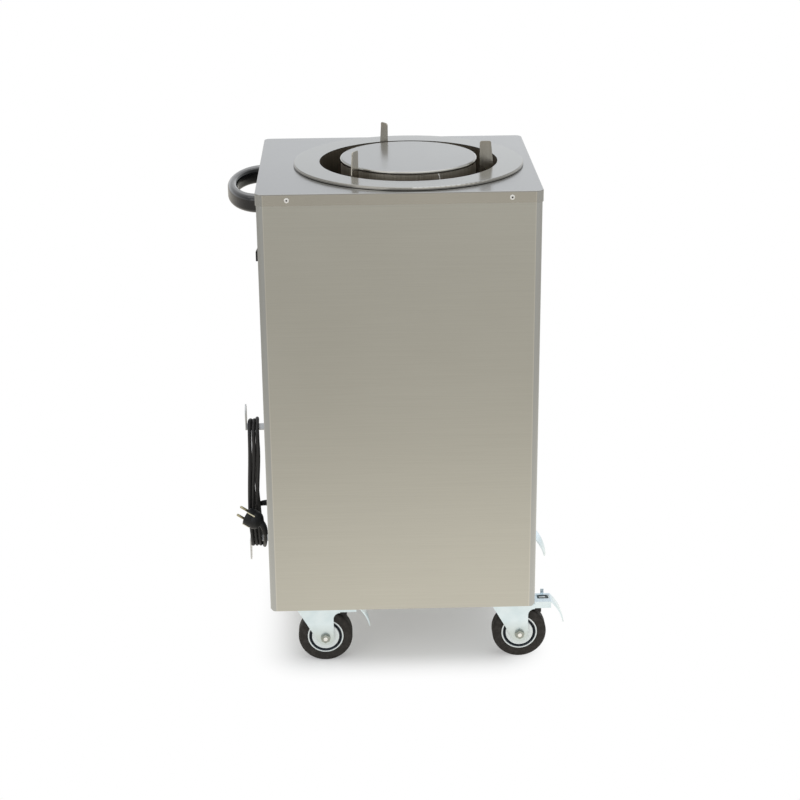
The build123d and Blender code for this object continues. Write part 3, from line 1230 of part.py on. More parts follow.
def make_brake_pad():
    """Pad under the pedal, shaped to lie just off the tyre when the pedal is down."""
    reach = WHEEL_RADIUS + PAD_GAP
    low, high = [released((WHEEL_TRAIL + reach * cos(radians(angle)),
                           WHEEL_RADIUS + reach * sin(radians(angle)))) for angle in PAD_ANGLES]
    top = PEDAL_TOP - PEDAL_SHEET
    outline = Polyline(high, low, (low[0], top), (high[0], top), close=True)
    return side_profile(outline, -PAD_HALF_WIDTH, PAD_HALF_WIDTH)


def make_toe():
    """Curved toe of the pedal, narrowing to its tip."""
    root = (PEDAL_ROOT, PEDAL_TOP)
    inner_bulge = (PEDAL_BULGE[0] - PEDAL_SHEET, PEDAL_BULGE[1] - PEDAL_SHEET)
    inner_tip = (PEDAL_TIP[0] - PEDAL_SHEET, PEDAL_TIP[1])
    outline = [ThreePointArc(root, PEDAL_BULGE, PEDAL_TIP), Line(PEDAL_TIP, inner_tip),
               ThreePointArc(inner_tip, inner_bulge, (root[0], root[1] - PEDAL_SHEET)),
               Line((root[0], root[1] - PEDAL_SHEET), root)]
    strip = side_profile(outline, -PEDAL_HALF_WIDTH, PEDAL_HALF_WIDTH)
    taper = Polyline((-PEDAL_HALF_WIDTH, PEDAL_TOP), (PEDAL_HALF_WIDTH, PEDAL_TOP),
                     (PEDAL_TIP_HALF_WIDTH, PEDAL_TIP[1]), (-PEDAL_TIP_HALF_WIDTH, PEDAL_TIP[1]), close=True)
    return strip & extrude(Plane.YZ * make_face(taper), PEDAL_TIP[0] + PEDAL_SHEET)


def make_pedal():
    """Brake pedal with two ears on the pin, a slotted top, a toe and a pad."""
    pin = (PEDAL_PIN_X, PEDAL_PIN_Z)
    inner = PEDAL_HALF_WIDTH - PEDAL_SHEET
    skirt_low = PEDAL_TOP - PEDAL_SKIRT
    cheek = Polyline((pin[0], skirt_low), (PEDAL_ROOT, skirt_low), (PEDAL_ROOT, PEDAL_TOP),
                     (pin[0], PEDAL_TOP), close=True)
    pedal = block(pin[0] + PEDAL_EAR_RADIUS / 2, PEDAL_ROOT, -PEDAL_HALF_WIDTH, PEDAL_HALF_WIDTH,
                  PEDAL_TOP - PEDAL_SHEET, PEDAL_TOP)
    for side in (-1, 1):
        low, high = sorted((side * inner, side * PEDAL_HALF_WIDTH))
        pedal = pedal + side_profile(cheek, low, high)
        pedal = pedal + rod(PEDAL_EAR_RADIUS, (pin[0], low, pin[1]), (pin[0], high, pin[1]))
    x0, x1, y0, y1 = PEDAL_SLOT
    slot = block(x0, x1, y0, y1, PEDAL_TOP - PEDAL_SHEET, PEDAL_TOP)
    tab = block(*PEDAL_TAB, inner, PEDAL_HALF_WIDTH, PEDAL_TOP - PEDAL_SHEET, PEDAL_TAB_TOP)
    bore = rod(PEDAL_PIN_RADIUS + RUNNING_CLEARANCE, (pin[0], -FORK_INNER_HALF, pin[1]),
               (pin[0], FORK_INNER_HALF, pin[1]))
    return pedal + make_toe() + make_brake_pad() + tab - slot - bore


CASTER_MAKERS = {"fork": make_fork, "axle": make_axle, "rim": make_rim, "tyre": make_tyre,
                 "pedal": make_pedal}

MAKERS = {
    "body_shell": make_body_shell, "rear_panel": make_rear_panel, "top_cover": make_top_cover,
    "base_pan": make_base_pan, "cover_rivets": make_cover_rivets, "panel_screws": make_panel_screws,
    "ring_flange": make_ring_flange, "dispenser_tube": make_dispenser_tube, "tube_stays": make_tube_stays,
    "heat_shield": make_heat_shield, "heater_element": make_heater_element,
    "limit_thermostat": make_limit_thermostat, "platform_disc": make_platform_disc,
    "platform_skirt": make_platform_skirt, "lift_carriage": make_lift_carriage,
    "lift_springs": make_lift_springs, "spring_hangers": make_spring_hangers,
    "guide_brackets": make_guide_brackets, "handle_bow": make_handle_bow, "handle_bolts": make_handle_bolts,
    "control_plate": make_control_plate, "thermostat_body": make_thermostat_body,
    "thermostat_knob": make_thermostat_knob, "switch_housing": make_switch_housing,
    "power_rocker": make_power_rocker, "pilot_lamp": make_pilot_lamp, "cord_hooks": make_cord_hooks,
    "hook_screws": make_hook_screws, "cable_gland": make_cable_gland, "terminal_block": make_terminal_block,
    "mains_cord": make_mains_cord, "cord_hank": make_cord_hank, "plug_body": make_plug_body,
    "plug_pins": make_plug_pins, "caster_plates": make_caster_plates, "caster_bolts": make_caster_bolts,
    "kingpins": make_kingpins,
}


def main():
    """Write one STEP file for each node."""
    os.makedirs("parts", exist_ok=True)
    for name, maker in MAKERS.items():
        export_step(maker(), f"parts/{name}.step")
    for name, angle in zip(GUIDE_NAMES, GUIDE_ANGLES):
        export_step(place_guide(angle), f"parts/guide_{name}.step")
    for piece, maker in CASTER_MAKERS.items():
        shape = maker()
        for name, x, y, turn in caster_places():
            export_step(Pos(x, y, 0) * Rot(0, 0, turn) * shape, f"parts/{piece}_{name}.step")


main()
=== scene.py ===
"""Heated plate dispenser: its finishes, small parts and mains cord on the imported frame, in metres."""
import logging
import math
from collections.abc import Callable, Iterable, Sequence
from dataclasses import dataclass, field
from enum import Enum

import bmesh
import bpy
from mathutils import Matrix, Vector


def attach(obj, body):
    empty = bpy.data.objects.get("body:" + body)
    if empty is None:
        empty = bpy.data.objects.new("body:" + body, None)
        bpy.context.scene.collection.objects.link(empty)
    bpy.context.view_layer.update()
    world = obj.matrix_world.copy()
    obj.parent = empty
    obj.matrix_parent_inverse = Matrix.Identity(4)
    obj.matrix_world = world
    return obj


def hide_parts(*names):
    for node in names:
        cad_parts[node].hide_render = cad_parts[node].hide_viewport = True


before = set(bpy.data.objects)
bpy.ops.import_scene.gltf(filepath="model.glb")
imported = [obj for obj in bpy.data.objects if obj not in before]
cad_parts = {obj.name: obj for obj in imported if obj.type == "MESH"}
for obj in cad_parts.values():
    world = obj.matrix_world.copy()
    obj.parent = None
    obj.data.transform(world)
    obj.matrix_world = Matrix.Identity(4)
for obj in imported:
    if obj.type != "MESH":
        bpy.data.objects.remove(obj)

LOG = logging.getLogger("plate_dispenser")
MM = 0.001
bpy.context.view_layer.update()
Point = tuple[float, float, float]
Feed = bpy.types.Node | bpy.types.NodeSocket
# The band that holds nearly all values of a noise texture, and its middle, which gives more contrast.
NOISE_BAND = {"From Min": 0.3, "From Max": 0.7}
NOISE_MIDDLE = {"From Min": 0.35, "From Max": 0.65}
# The platform and the ring share this middle, right of the cabinet's.
WELL_X = 22.0 * MM
# The plug's strain relief ends here and the bare cord starts.
RELIEF_END: Point = (-0.253942, -0.057423, 0.207696)


# ---- Colour and node helpers ----
def srgb(code: str) -> tuple[float, float, float, float]:
    """Turn an sRGB hex value into linear colour.

    Args:
        code: Six hexadecimal digits, with or without a leading #.

    Returns:
        Linear red, green, blue and an alpha of one.
    """
    digits = code.lstrip("#")
    parts = [int(digits[i:i + 2], 16) / 255 for i in (0, 2, 4)]
    linear = [p / 12.92 if p <= 0.04045 else ((p + 0.055) / 1.055) ** 2.4 for p in parts]
    return (*linear, 1.0)


def per_size(size_mm: float) -> float:
    """Return the texture scale at which one grain has this real size in millimetres."""
    return 1000 / size_mm


def add_node(tree: bpy.types.NodeTree, kind: str, settings: dict | None = None,
             links: dict | None = None) -> bpy.types.Node:
    """Add a node with its settings and its incoming links.

    Args:
        tree: The node tree that gets the node.
        kind: The node's type name.
        settings: Property names, or input names or numbers, and their values.
        links: Input names or numbers, and the sockets, or nodes with one output in use, that feed them.

    Returns:
        The new node.
    """
    node = tree.nodes.new(kind)
    for key, value in (settings or {}).items():
        if isinstance(key, str) and hasattr(node, key):
            setattr(node, key, value)
        else:
            node.inputs[key].default_value = value
    for key, source in (links or {}).items():
        socket = source if isinstance(source, bpy.types.NodeSocket) else source.outputs[0]
        tree.links.new(socket, node.inputs[key])
    return node


def new_tree(name: str) -> tuple[bpy.types.Material, bpy.types.NodeTree, bpy.types.NodeSocket]:
    """Make an empty node material.

    Args:
        name: The material's name.

    Returns:
        The material, its node tree and the socket of the place on the object, in metres.
    """
    material = bpy.data.materials.new(name)
    material.use_nodes = True
    tree = material.node_tree
    tree.nodes.clear()
    return material, tree, add_node(tree, "ShaderNodeTexCoord").outputs["Object"]


def close_tree(tree: bpy.types.NodeTree, settings: dict, links: dict) -> None:
    """Add the surface shader and the output.

    Args:
        tree: The material's node tree.
        settings: Values for the shader's sockets.
        links: Sockets that feed the shader.
    """
    shader = add_node(tree, "ShaderNodeBsdfPrincipled", settings, links)
    add_node(tree, "ShaderNodeOutputMaterial", None, {"Surface": shader})


class Grain(Enum):
    """The direction in which a sheet was brushed, as which axes its lines are short along."""

    ROUND = (False, False, True)
    ACROSS = (False, True, False)
    UPRIGHT = (True, True, False)


# ---- Finishes ----
@dataclass(frozen=True)
class BrushedStainless:
    """Stainless sheet that a belt has brushed: long faint lines that blur reflections across them."""

    name: str
    light: str
    dark: str
    grain: Grain
    roughness: float = 0.34
    relief_mm: float = 0.0015
    line_mm: float = 0.9
    streak_mm: float = 150.0
    cloud_mm: float = 160.0
    swing: float = 0.02

    def paint(self, tree: bpy.types.NodeTree, place: Feed, lines: Feed) -> Feed:
        """Colour the sheet between its lighter and darker lines.

        Args:
            tree: The material's node tree.
            place: The place on the object; not used here.
            lines: The brushed lines, from 0 to 1.

        Returns:
            The colour's socket.
        """
        share = add_node(tree, "ShaderNodeMapRange", NOISE_MIDDLE, {"Value": lines})
        return add_node(tree, "ShaderNodeMix", {"data_type": "RGBA", 6: srgb(self.light), 7: srgb(self.dark)},
                        {0: share}).outputs[2]

    def build(self) -> bpy.types.Material:
        """Build the material; the lines are drawn several times coarser than real grit so that they show.

        Returns:
            The material.
        """
        material, tree, place = new_tree(self.name)
        scale = [per_size(self.line_mm if short else self.streak_mm) for short in self.grain.value]
        stretch = add_node(tree, "ShaderNodeMapping", {"Scale": scale}, {"Vector": place})
        lines = add_node(tree, "ShaderNodeTexNoise", {"Scale": 1.0, "Detail": 4.0, "Roughness": 0.7},
                         {"Vector": stretch})
        cloud = add_node(tree, "ShaderNodeTexNoise", {"Scale": per_size(self.cloud_mm), "Detail": 2.0},
                         {"Vector": place})
        rough = add_node(tree, "ShaderNodeMapRange", {
            **NOISE_BAND, "To Min": self.roughness - self.swing, "To Max": self.roughness + self.swing},
            {"Value": cloud})
        relief = add_node(tree, "ShaderNodeBump", {"Distance": self.relief_mm * MM}, {"Height": lines})
        close_tree(tree, {"Metallic": 1.0},
                   {"Base Color": self.paint(tree, place, lines), "Roughness": rough, "Normal": relief})
        return material


@dataclass(frozen=True)
class FoldedSheet(BrushedStainless):
    """Brushed sheet folded at the front, with a painted highlight line beside a painted reflection, cooler and
    duller, on the bend.
    """

    # Painted highlight: the line along the fold; painted reflection: the bend beyond it, cooler and duller.
    line: str = "#cbc9c1"
    bend: str = "#b4b6b5"
    fold: float = 229.4 * MM
    highlight_half: float = 0.8 * MM

    def paint(self, tree: bpy.types.NodeTree, place: Feed, lines: Feed) -> Feed:
        """Colour the sheet, and paint the highlight line and the bend's cooler, duller reflection.

        Args:
            tree: The material's node tree.
            place: The place on the object.
            lines: The brushed lines, from 0 to 1.

        Returns:
            The colour's socket.
        """
        flat = super().paint(tree, place, lines)
        parts = add_node(tree, "ShaderNodeSeparateXYZ", None, {0: place})
        across = add_node(tree, "ShaderNodeMath", {"operation": "ABSOLUTE"}, {0: parts.outputs["X"]})
        # Painted highlight: a narrow line at the fold.
        highlight_line = add_node(tree, "ShaderNodeMath", {"operation": "COMPARE", 1: self.fold, 2: self.highlight_half},
                          {0: across})
        # Painted reflection on the bend beyond the line.
        bend_reflection = add_node(tree, "ShaderNodeMath",
                        {"operation": "GREATER_THAN", 1: self.fold + self.highlight_half}, {0: across})
        lit = add_node(tree, "ShaderNodeMix", {"data_type": "RGBA", 7: srgb(self.line)}, {0: highlight_line, 6: flat})
        return add_node(tree, "ShaderNodeMix", {"data_type": "RGBA", 7: srgb(self.bend)},
                        {0: bend_reflection, 6: lit.outputs[2]}).outputs[2]


@dataclass(frozen=True)
class CoverSheet(FoldedSheet):
    """The cover's sheet: cool on the flat top, warm as the walls on its lip, with painted shade along the
    folded edge that dulls its highlight.
    """

    top: str = "#adaeaf"
    # Painted shade along the folded edge, which dulls its highlight.
    edge: str = "#8d8b86"
    lip_height: float = 900.4 * MM
    fold_shade_height: float = 901.3 * MM
    fold_shade_half: float = 0.55 * MM

    def paint(self, tree: bpy.types.NodeTree, place: Feed, lines: Feed) -> Feed:
        """Colour the top and the lip, and paint shade on the fold between them.

        Args:
            tree: The material's node tree.
            place: The place on the object.
            lines: The brushed lines, from 0 to 1.

        Returns:
            The colour's socket.
        """
        lip = super().paint(tree, place, lines)
        parts = add_node(tree, "ShaderNodeSeparateXYZ", None, {0: place})
        above = add_node(tree, "ShaderNodeMath", {"operation": "GREATER_THAN", 1: self.lip_height},
                         {0: parts.outputs["Z"]})
        # Painted shade: a narrow band at the height of the folded edge.
        fold_shade = add_node(tree, "ShaderNodeMath", {
            "operation": "COMPARE", 1: self.fold_shade_height, 2: self.fold_shade_half}, {0: parts.outputs["Z"]})
        flat = add_node(tree, "ShaderNodeMix", {"data_type": "RGBA", 7: srgb(self.top)}, {0: above, 6: lip})
        return add_node(tree, "ShaderNodeMix", {"data_type": "RGBA", 7: srgb(self.edge)},
                        {0: fold_shade, 6: flat.outputs[2]}).outputs[2]


@dataclass(frozen=True)
class RimShadedSheet(BrushedStainless):
    """Brushed sheet with painted shade on its outer rim: darker than the flat, which dulls the rim's highlight.
    """

    # Painted shade on the rim, and the radius where it starts.
    rim: str = "#8d8a83"
    shaded_rim_radius: float = 202.6 * MM
    shaded_rim_blend: float = 0.3 * MM

    def paint(self, tree: bpy.types.NodeTree, place: Feed, lines: Feed) -> Feed:
        """Colour the flat and paint shade on the rim.

        Args:
            tree: The material's node tree.
            place: The place on the object.
            lines: The brushed lines, from 0 to 1.

        Returns:
            The colour's socket.
        """
        flat = super().paint(tree, place, lines)
        centred = add_node(tree, "ShaderNodeVectorMath", {"operation": "SUBTRACT", 1: (WELL_X, 0, 0)},
                           {0: place})
        level = add_node(tree, "ShaderNodeVectorMath", {"operation": "MULTIPLY", 1: (1, 1, 0)}, {0: centred})
        radius = add_node(tree, "ShaderNodeVectorMath", {"operation": "LENGTH"}, {0: level})
        # Painted shade beyond the rim's radius.
        outer = add_node(tree, "ShaderNodeMapRange", {
            "From Min": self.shaded_rim_radius - self.shaded_rim_blend, "From Max": self.shaded_rim_radius + self.shaded_rim_blend},
            {"Value": radius.outputs["Value"]})
        return add_node(tree, "ShaderNodeMix", {"data_type": "RGBA", 7: srgb(self.rim)},
                        {0: outer, 6: flat}).outputs[2]


@dataclass(frozen=True)
class ZincPlate:
    """Pressed steel with bright zinc and blue passivation: cool white with faint patches, and painted shade
    that turns it greyer low down, near the floor.
    """

    name: str
    base: str = "#e2eff6"
    tint: str = "#dae9f0"
    # The painted shade's colour near the floor, and below it the heights over which it comes in.
    low_shade: str = "#ccd6d6"
    metallic: float = 0.8
    roughness: float = 0.33
    low_shade_from: float = 78.0 * MM
    low_shade_to: float = 50.0 * MM
    patch_mm: float = 20.0
    grain_mm: float = 1.2
    relief_mm: float = 0.006
    smoother: float = 0.05
    rougher: float = 0.06

    def build(self) -> bpy.types.Material:
        """Build the material; its patches are as wide as a plating bath's drain marks.

        Returns:
            The material.
        """
        material, tree, place = new_tree(self.name)
        patch = add_node(tree, "ShaderNodeTexNoise", {"Scale": per_size(self.patch_mm), "Detail": 3.0},
                         {"Vector": place})
        fine = add_node(tree, "ShaderNodeTexNoise", {"Scale": per_size(self.grain_mm), "Detail": 3.0},
                        {"Vector": place})
        share = add_node(tree, "ShaderNodeMapRange", NOISE_MIDDLE, {"Value": patch})
        cool = add_node(tree, "ShaderNodeMix", {"data_type": "RGBA", 6: srgb(self.base), 7: srgb(self.tint)},
                        {0: share})
        parts = add_node(tree, "ShaderNodeSeparateXYZ", None, {0: place})
        # Painted shade: greyer towards the floor.
        low = add_node(tree, "ShaderNodeMapRange", {"From Min": self.low_shade_from, "From Max": self.low_shade_to},
                       {"Value": parts.outputs["Z"]})
        colour = add_node(tree, "ShaderNodeMix", {"data_type": "RGBA", 7: srgb(self.low_shade)},
                          {0: low, 6: cool.outputs[2]})
        rough = add_node(tree, "ShaderNodeMapRange", {
            **NOISE_BAND, "To Min": self.roughness - self.smoother, "To Max": self.roughness + self.rougher},
            {"Value": patch})
        relief = add_node(tree, "ShaderNodeBump", {"Distance": self.relief_mm * MM}, {"Height": fine})
        close_tree(tree, {"Metallic": self.metallic},
                   {"Base Color": colour.outputs[2], "Roughness": rough, "Normal": relief})
        return material


@dataclass(frozen=True)
class Moulding:
    """Injection-moulded plastic or rubber: one colour with a fine moulded skin and slight handling marks."""

    name: str
    colour: str
    worn: str
    roughness: float
    skin_mm: float = 0.8
    relief_mm: float = 0.02
    coat: float = 0.0
    specular: float = 0.5
    marks_mm: float = 24.0
    marked: tuple[float, float] = (0.45, 0.75)
    most_worn: float = 0.8
    smoother: float = 0.05
    rougher: float = 0.07

    def build(self) -> bpy.types.Material:
        """Build the material; the skin's grain is drawn at its real size.

        Returns:
            The material.
        """
        material, tree, place = new_tree(self.name)
        skin = add_node(tree, "ShaderNodeTexNoise", {"Scale": per_size(self.skin_mm), "Detail": 3.0},
                        {"Vector": place})
        marks = add_node(tree, "ShaderNodeTexNoise", {
            "Scale": per_size(self.marks_mm), "Detail": 4.0, "Roughness": 0.65}, {"Vector": place})
        share = add_node(tree, "ShaderNodeMapRange", {
            "From Min": self.marked[0], "From Max": self.marked[1], "To Max": self.most_worn},
            {"Value": marks})
        colour = add_node(tree, "ShaderNodeMix", {
            "data_type": "RGBA", 6: srgb(self.colour), 7: srgb(self.worn)}, {0: share})
        rough = add_node(tree, "ShaderNodeMapRange", {
            **NOISE_BAND, "To Min": self.roughness - self.smoother, "To Max": self.roughness + self.rougher},
            {"Value": marks})
        relief = add_node(tree, "ShaderNodeBump", {"Distance": self.relief_mm * MM}, {"Height": skin})
        close_tree(tree, {"Coat Weight": self.coat, "Specular IOR Level": self.specular},
                   {"Base Color": colour.outputs[2], "Roughness": rough, "Normal": relief})
        return material


@dataclass(frozen=True)
class TurnedMetal:
    """A small turned, headed or plated metal part: even colour, fine tool marks and a soft shine."""

    name: str
    base: str
    stain: str
    roughness: float
    grain_mm: float = 0.7
    stain_mm: float = 7.0
    relief_mm: float = 0.006
    stained: tuple[float, float] = (0.45, 0.7)
    most_stained: float = 0.8
    smoother: float = 0.05
    rougher: float = 0.08

    def build(self) -> bpy.types.Material:
        """Build the material; tool marks are drawn at about twice their real size so that they show.

        Returns:
            The material.
        """
        material, tree, place = new_tree(self.name)
        marks = add_node(tree, "ShaderNodeTexNoise", {"Scale": per_size(self.grain_mm), "Detail": 3.0},
                         {"Vector": place})
        stain = add_node(tree, "ShaderNodeTexNoise", {"Scale": per_size(self.stain_mm), "Detail": 3.0},
                         {"Vector": place})
        share = add_node(tree, "ShaderNodeMapRange", {
            "From Min": self.stained[0], "From Max": self.stained[1], "To Max": self.most_stained},
            {"Value": stain})
        colour = add_node(tree, "ShaderNodeMix", {
            "data_type": "RGBA", 6: srgb(self.base), 7: srgb(self.stain)}, {0: share})
        rough = add_node(tree, "ShaderNodeMapRange", {
            **NOISE_BAND, "To Min": self.roughness - self.smoother, "To Max": self.roughness + self.rougher},
            {"Value": marks})
        relief = add_node(tree, "ShaderNodeBump", {"Distance": self.relief_mm * MM}, {"Height": marks})
        close_tree(tree, {"Metallic": 1.0},
                   {"Base Color": colour.outputs[2], "Roughness": rough, "Normal": relief})
        return material


@dataclass(frozen=True)
class LampLens:
    """Clear amber polycarbonate with a moulded prism pattern behind it."""

    name: str = "Amber_polycarbonate"
    base: str = "#e0701a"
    deep: str = "#a63f08"
    prism_mm: float = 1.5
    roughness: float = 0.12
    coat: float = 0.4

    def build(self) -> bpy.types.Material:
        """Build the material; its prisms are drawn at their real size.

        Returns:
            The material.
        """
        material, tree, place = new_tree(self.name)
        prisms = add_node(tree, "ShaderNodeTexVoronoi", {"Scale": per_size(self.prism_mm)}, {"Vector": place})
        colour = add_node(tree, "ShaderNodeMix", {
            "data_type": "RGBA", 6: srgb(self.base), 7: srgb(self.deep)}, {0: prisms})
        close_tree(tree, {"Roughness": self.roughness, "Coat Weight": self.coat},
                   {"Base Color": colour.outputs[2]})
        return material


class Finish(Enum):
    """Every finish of the dispenser, each with how its surface was made and what that gives the eye."""

    # Sheet brushed by a belt, level round the cabinet: soft warm grey, mirrored shapes smeared up and down;
    # painted highlight and reflection at the front folds.
    WALL = FoldedSheet("Brushed_stainless_walls", "#c1c0b8", "#bcbbb3", Grain.ROUND)
    # The same sheet where nothing is folded at the front: the same even grey without the painted highlight line
    # and bend reflection.
    REAR = BrushedStainless("Brushed_stainless_rear", "#c1c0b8", "#bcbbb3", Grain.ROUND)
    # Brushed with a finer belt: a satin mirror in which the guides and the ring show.
    COVER = CoverSheet("Brushed_stainless_cover", "#c2c0b8", "#bdbbb3", Grain.ACROSS, roughness=0.2,
                       relief_mm=0.012)
    # Thin plate brushed upright before it was punched: a little whiter than the wall behind it.
    PLATE = BrushedStainless("Brushed_stainless_plate", "#c9c9c8", "#c2c2c1", Grain.UPRIGHT, roughness=0.27)
    # Pressed, brushed on its flat and spun at its rim: a cool satin flat inside a lip darkened by painted
    # shade.
    RING = RimShadedSheet("Brushed_stainless_ring", "#b4b5b4", "#aeafae", Grain.ACROSS, roughness=0.19,
                     relief_mm=0.012)
    # Pressed and rubbed by the plates on it: as the ring, and slightly darker, with lighter painted shade on
    # its rim.
    DISC = RimShadedSheet("Brushed_stainless_disc", "#adaeae", "#a7a8a8", Grain.ACROSS, roughness=0.19,
                     relief_mm=0.012, rim="#a7a59f", shaded_rim_radius=120.4 * MM)
    # Rolled and welded, left as drawn: upright streaks that turn dark brown in the depth.
    WELL = BrushedStainless("Drawn_stainless_well", "#aaa193", "#8d8577", Grain.UPRIGHT, roughness=0.38,
                            relief_mm=0.004, line_mm=3.0)
    # Rolled from strip with its grain upright: broad streaks of pale and brownish grey.
    SKIRT = BrushedStainless("Rolled_stainless_skirt", "#dad4c7", "#b9b2a4", Grain.UPRIGHT, roughness=0.36,
                             relief_mm=0.003, line_mm=1.6)
    # Strip brushed along its length and worn by plates: warm grey with a faint shine.
    GUIDE = BrushedStainless("Brushed_stainless_guides", "#b4afa4", "#9d988d", Grain.UPRIGHT, roughness=0.26,
                             relief_mm=0.004, line_mm=1.4)
    # A welded seam coloured nearly white: a painted glint, a thin bright line.
    SEAM = ZincPlate("Seam_painted_glint", "#fffefa", "#f6f4ee", "#fffefa", metallic=0.3)
    # Pressed steel with blue passivation: a cool bluish white with faint drain marks, and painted shade low
    # down.
    ZINC = ZincPlate("Zinc_plated_steel")
    # The same plating, thicker, on smooth pressings: whiter than the forks, with painted shade low down.
    RIM = ZincPlate("Zinc_plated_rims", "#f2f6f6", "#e6eef0", "#e2e9e9", metallic=0.3)
    # Bent strip with dull nickel: neutral grey with soft highlights.
    HOOK = TurnedMetal("Nickel_plated_strip", "#c0c2c3", "#b8babb", 0.32, grain_mm=1.5)
    # Painted shade in the rims' grooves and on the lips beside them: a blue black lining that sets off the
    # bright rim.
    GROOVE = Moulding("Groove_painted_shade", "#1b2630", "#2c3945", 0.35, skin_mm=0.5, relief_mm=0.01)
    # Headed screws with bright zinc: small, crisp highlights.
    FASTENER = TurnedMetal("Zinc_plated_fasteners", "#d5d7d6", "#bcbfbd", 0.3)
    # Nuts and washers: zinc coloured darker and greener than the screws, as painted shade.
    NUT = TurnedMetal("Nuts_painted_shade", "#a3a8a2", "#858a84", 0.36)
    # Headed aluminium, tumbled: pale and matt.
    RIVET = TurnedMetal("Aluminium_rivet_heads", "#f4f4f2", "#e2e2df", 0.45)
    # Steel that snapped when the rivet was set: a dark, rough end.
    MANDREL = TurnedMetal("Steel_rivet_mandrels", "#3b352e", "#28241f", 0.55)
    # Cold drawn: smooth, with narrow highlights along the coils.
    SPRING = TurnedMetal("Drawn_spring_wire", "#a9a9a6", "#8b8b86", 0.28)
    # A steel sheath tinted by its own heat: brownish grey without shine.
    HEATER = TurnedMetal("Heat_tinted_sheath", "#6a625a", "#54463c", 0.45)
    # Turned brass whose thin nickel has worn: a yellowish grey shine.
    PIN = TurnedMetal("Nickel_plated_brass", "#aba488", "#857c62", 0.3)
    # Rolled and stamped strip: satin, the colour of pale straw.
    STRIP = TurnedMetal("Spring_bronze_strips", "#cdc7ae", "#b3ab8f", 0.4)
    # Moulded in a polished tool: near black with clear bright edges.
    HANDLE = Moulding("Black_polyamide_handle", "#0e0e10", "#151518", 0.15, skin_mm=0.9, relief_mm=0.006,
                      coat=0.4)
    # Moulded in a spark-eroded tool: a satin dark grey.
    CONTROL = Moulding("Black_ABS_controls", "#191919", "#232323", 0.38, skin_mm=0.6)
    # Soft PVC moulded round the contacts: black and matt, mirroring little.
    PLUG = Moulding("Black_PVC_plug", "#131314", "#1e1e21", 0.42, skin_mm=0.7, specular=0.3)
    # An extruded sheath that slides through hands: brownish black and dull.
    CORD = Moulding("Black_rubber_cord", "#1b1a1a", "#292726", 0.48, skin_mm=0.6, relief_mm=0.015)
    # Rubber from a sandblasted mould with dust in its pores: brownish black, dull, lighter in patches.
    TYRE = Moulding("Caster_rubber", "#282521", "#45413e", 0.76, skin_mm=0.9, relief_mm=0.05, specular=0.35,
                    marks_mm=9.0)
    # Rubber cut from a pressed sheet: a plain dull black brake shoe, whose black also stands in as painted
    # shade under the pedal.
    SHOE = Moulding("Black_rubber_shoe", "#141313", "#221f1e", 0.7)
    # A satin, greenish black block under the pedal's slot: painted shade, so that the slot shows dark.
    CATCH = Moulding("Slot_painted_shade", "#1c2b2b", "#2f4242", 0.4)
    # Polycarbonate with moulded prisms: glossy orange with darker facets.
    LENS = LampLens()
    # Pressed in a heated tool: a hard satin cream.
    RESIN = Moulding("Cream_urea_resin", "#dcd6c3", "#cbc3ab", 0.45)
    # Ink laid on by a soft pad: thin, flat and matt.
    MARK = Moulding("White_pad_print", "#eceae4", "#d8d6cf", 0.5, skin_mm=0.3, relief_mm=0.002)
    # The same ink in black on bare metal: a crisp, dull line.
    PRINT = Moulding("Black_pad_print", "#202022", "#2b2b2d", 0.5, skin_mm=0.3, relief_mm=0.002)

    def material(self) -> bpy.types.Material:
        """Return the finish's material, built on first use."""
        return bpy.data.materials.get(self.value.name) or self.value.build()


# ---- Mesh helpers ----
def dress(finishes: dict[str, Finish]) -> None:
    """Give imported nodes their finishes.

    Args:
        finishes: Each node's name and its finish.
    """
    for node, finish in finishes.items():
        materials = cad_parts[node].data.materials
        materials.clear()
        materials.append(finish.material())
        LOG.info("dressed %s", node)


def new_piece(name: str, data: bpy.types.Mesh | bpy.types.Curve, finish: Finish, body: str) -> bpy.types.Object:
    """Put new geometry in the scene, dress it and let it ride.

    Args:
        name: The piece's name.
        data: Its mesh or curve, in the row's frame.
        finish: Its finish.
        body: The body that carries it.

    Returns:
        The piece.
    """
    made = bpy.data.objects.new(name, data)
    bpy.context.scene.collection.objects.link(made)
    data.materials.append(finish.material())
    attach(made, body)
    LOG.info("added %s", name)
    return made


def mesh_of(name: str, vertices: Sequence[Vector | Point], faces: Sequence[Sequence[int]],
            smooth: bool = True) -> bpy.types.Mesh:
    """Make a mesh from its corners and faces.

    Args:
        name: The mesh's name.
        vertices: The corners, in metres.
        faces: The corners of each face.
        smooth: Whether the faces shade smoothly.

    Returns:
        The mesh.
    """
    mesh = bpy.data.meshes.new(name)
    mesh.from_pydata([tuple(v) for v in vertices], [], [tuple(f) for f in faces])
    mesh.polygons.foreach_set("use_smooth", [smooth] * len(mesh.polygons))
    mesh.update()
    return mesh


def joined(name: str, parts: Sequence[bpy.types.Mesh]) -> bpy.types.Mesh:
    """Join meshes into one.

    Args:
        name: The new mesh's name.
        parts: The meshes, which are used up.

    Returns:
        The joined mesh.
    """
    work = bmesh.new()
    for part in parts:
        work.from_mesh(part)
        bpy.data.meshes.remove(part)
    whole = bpy.data.meshes.new(name)
    work.to_mesh(whole)
    work.free()
    return whole


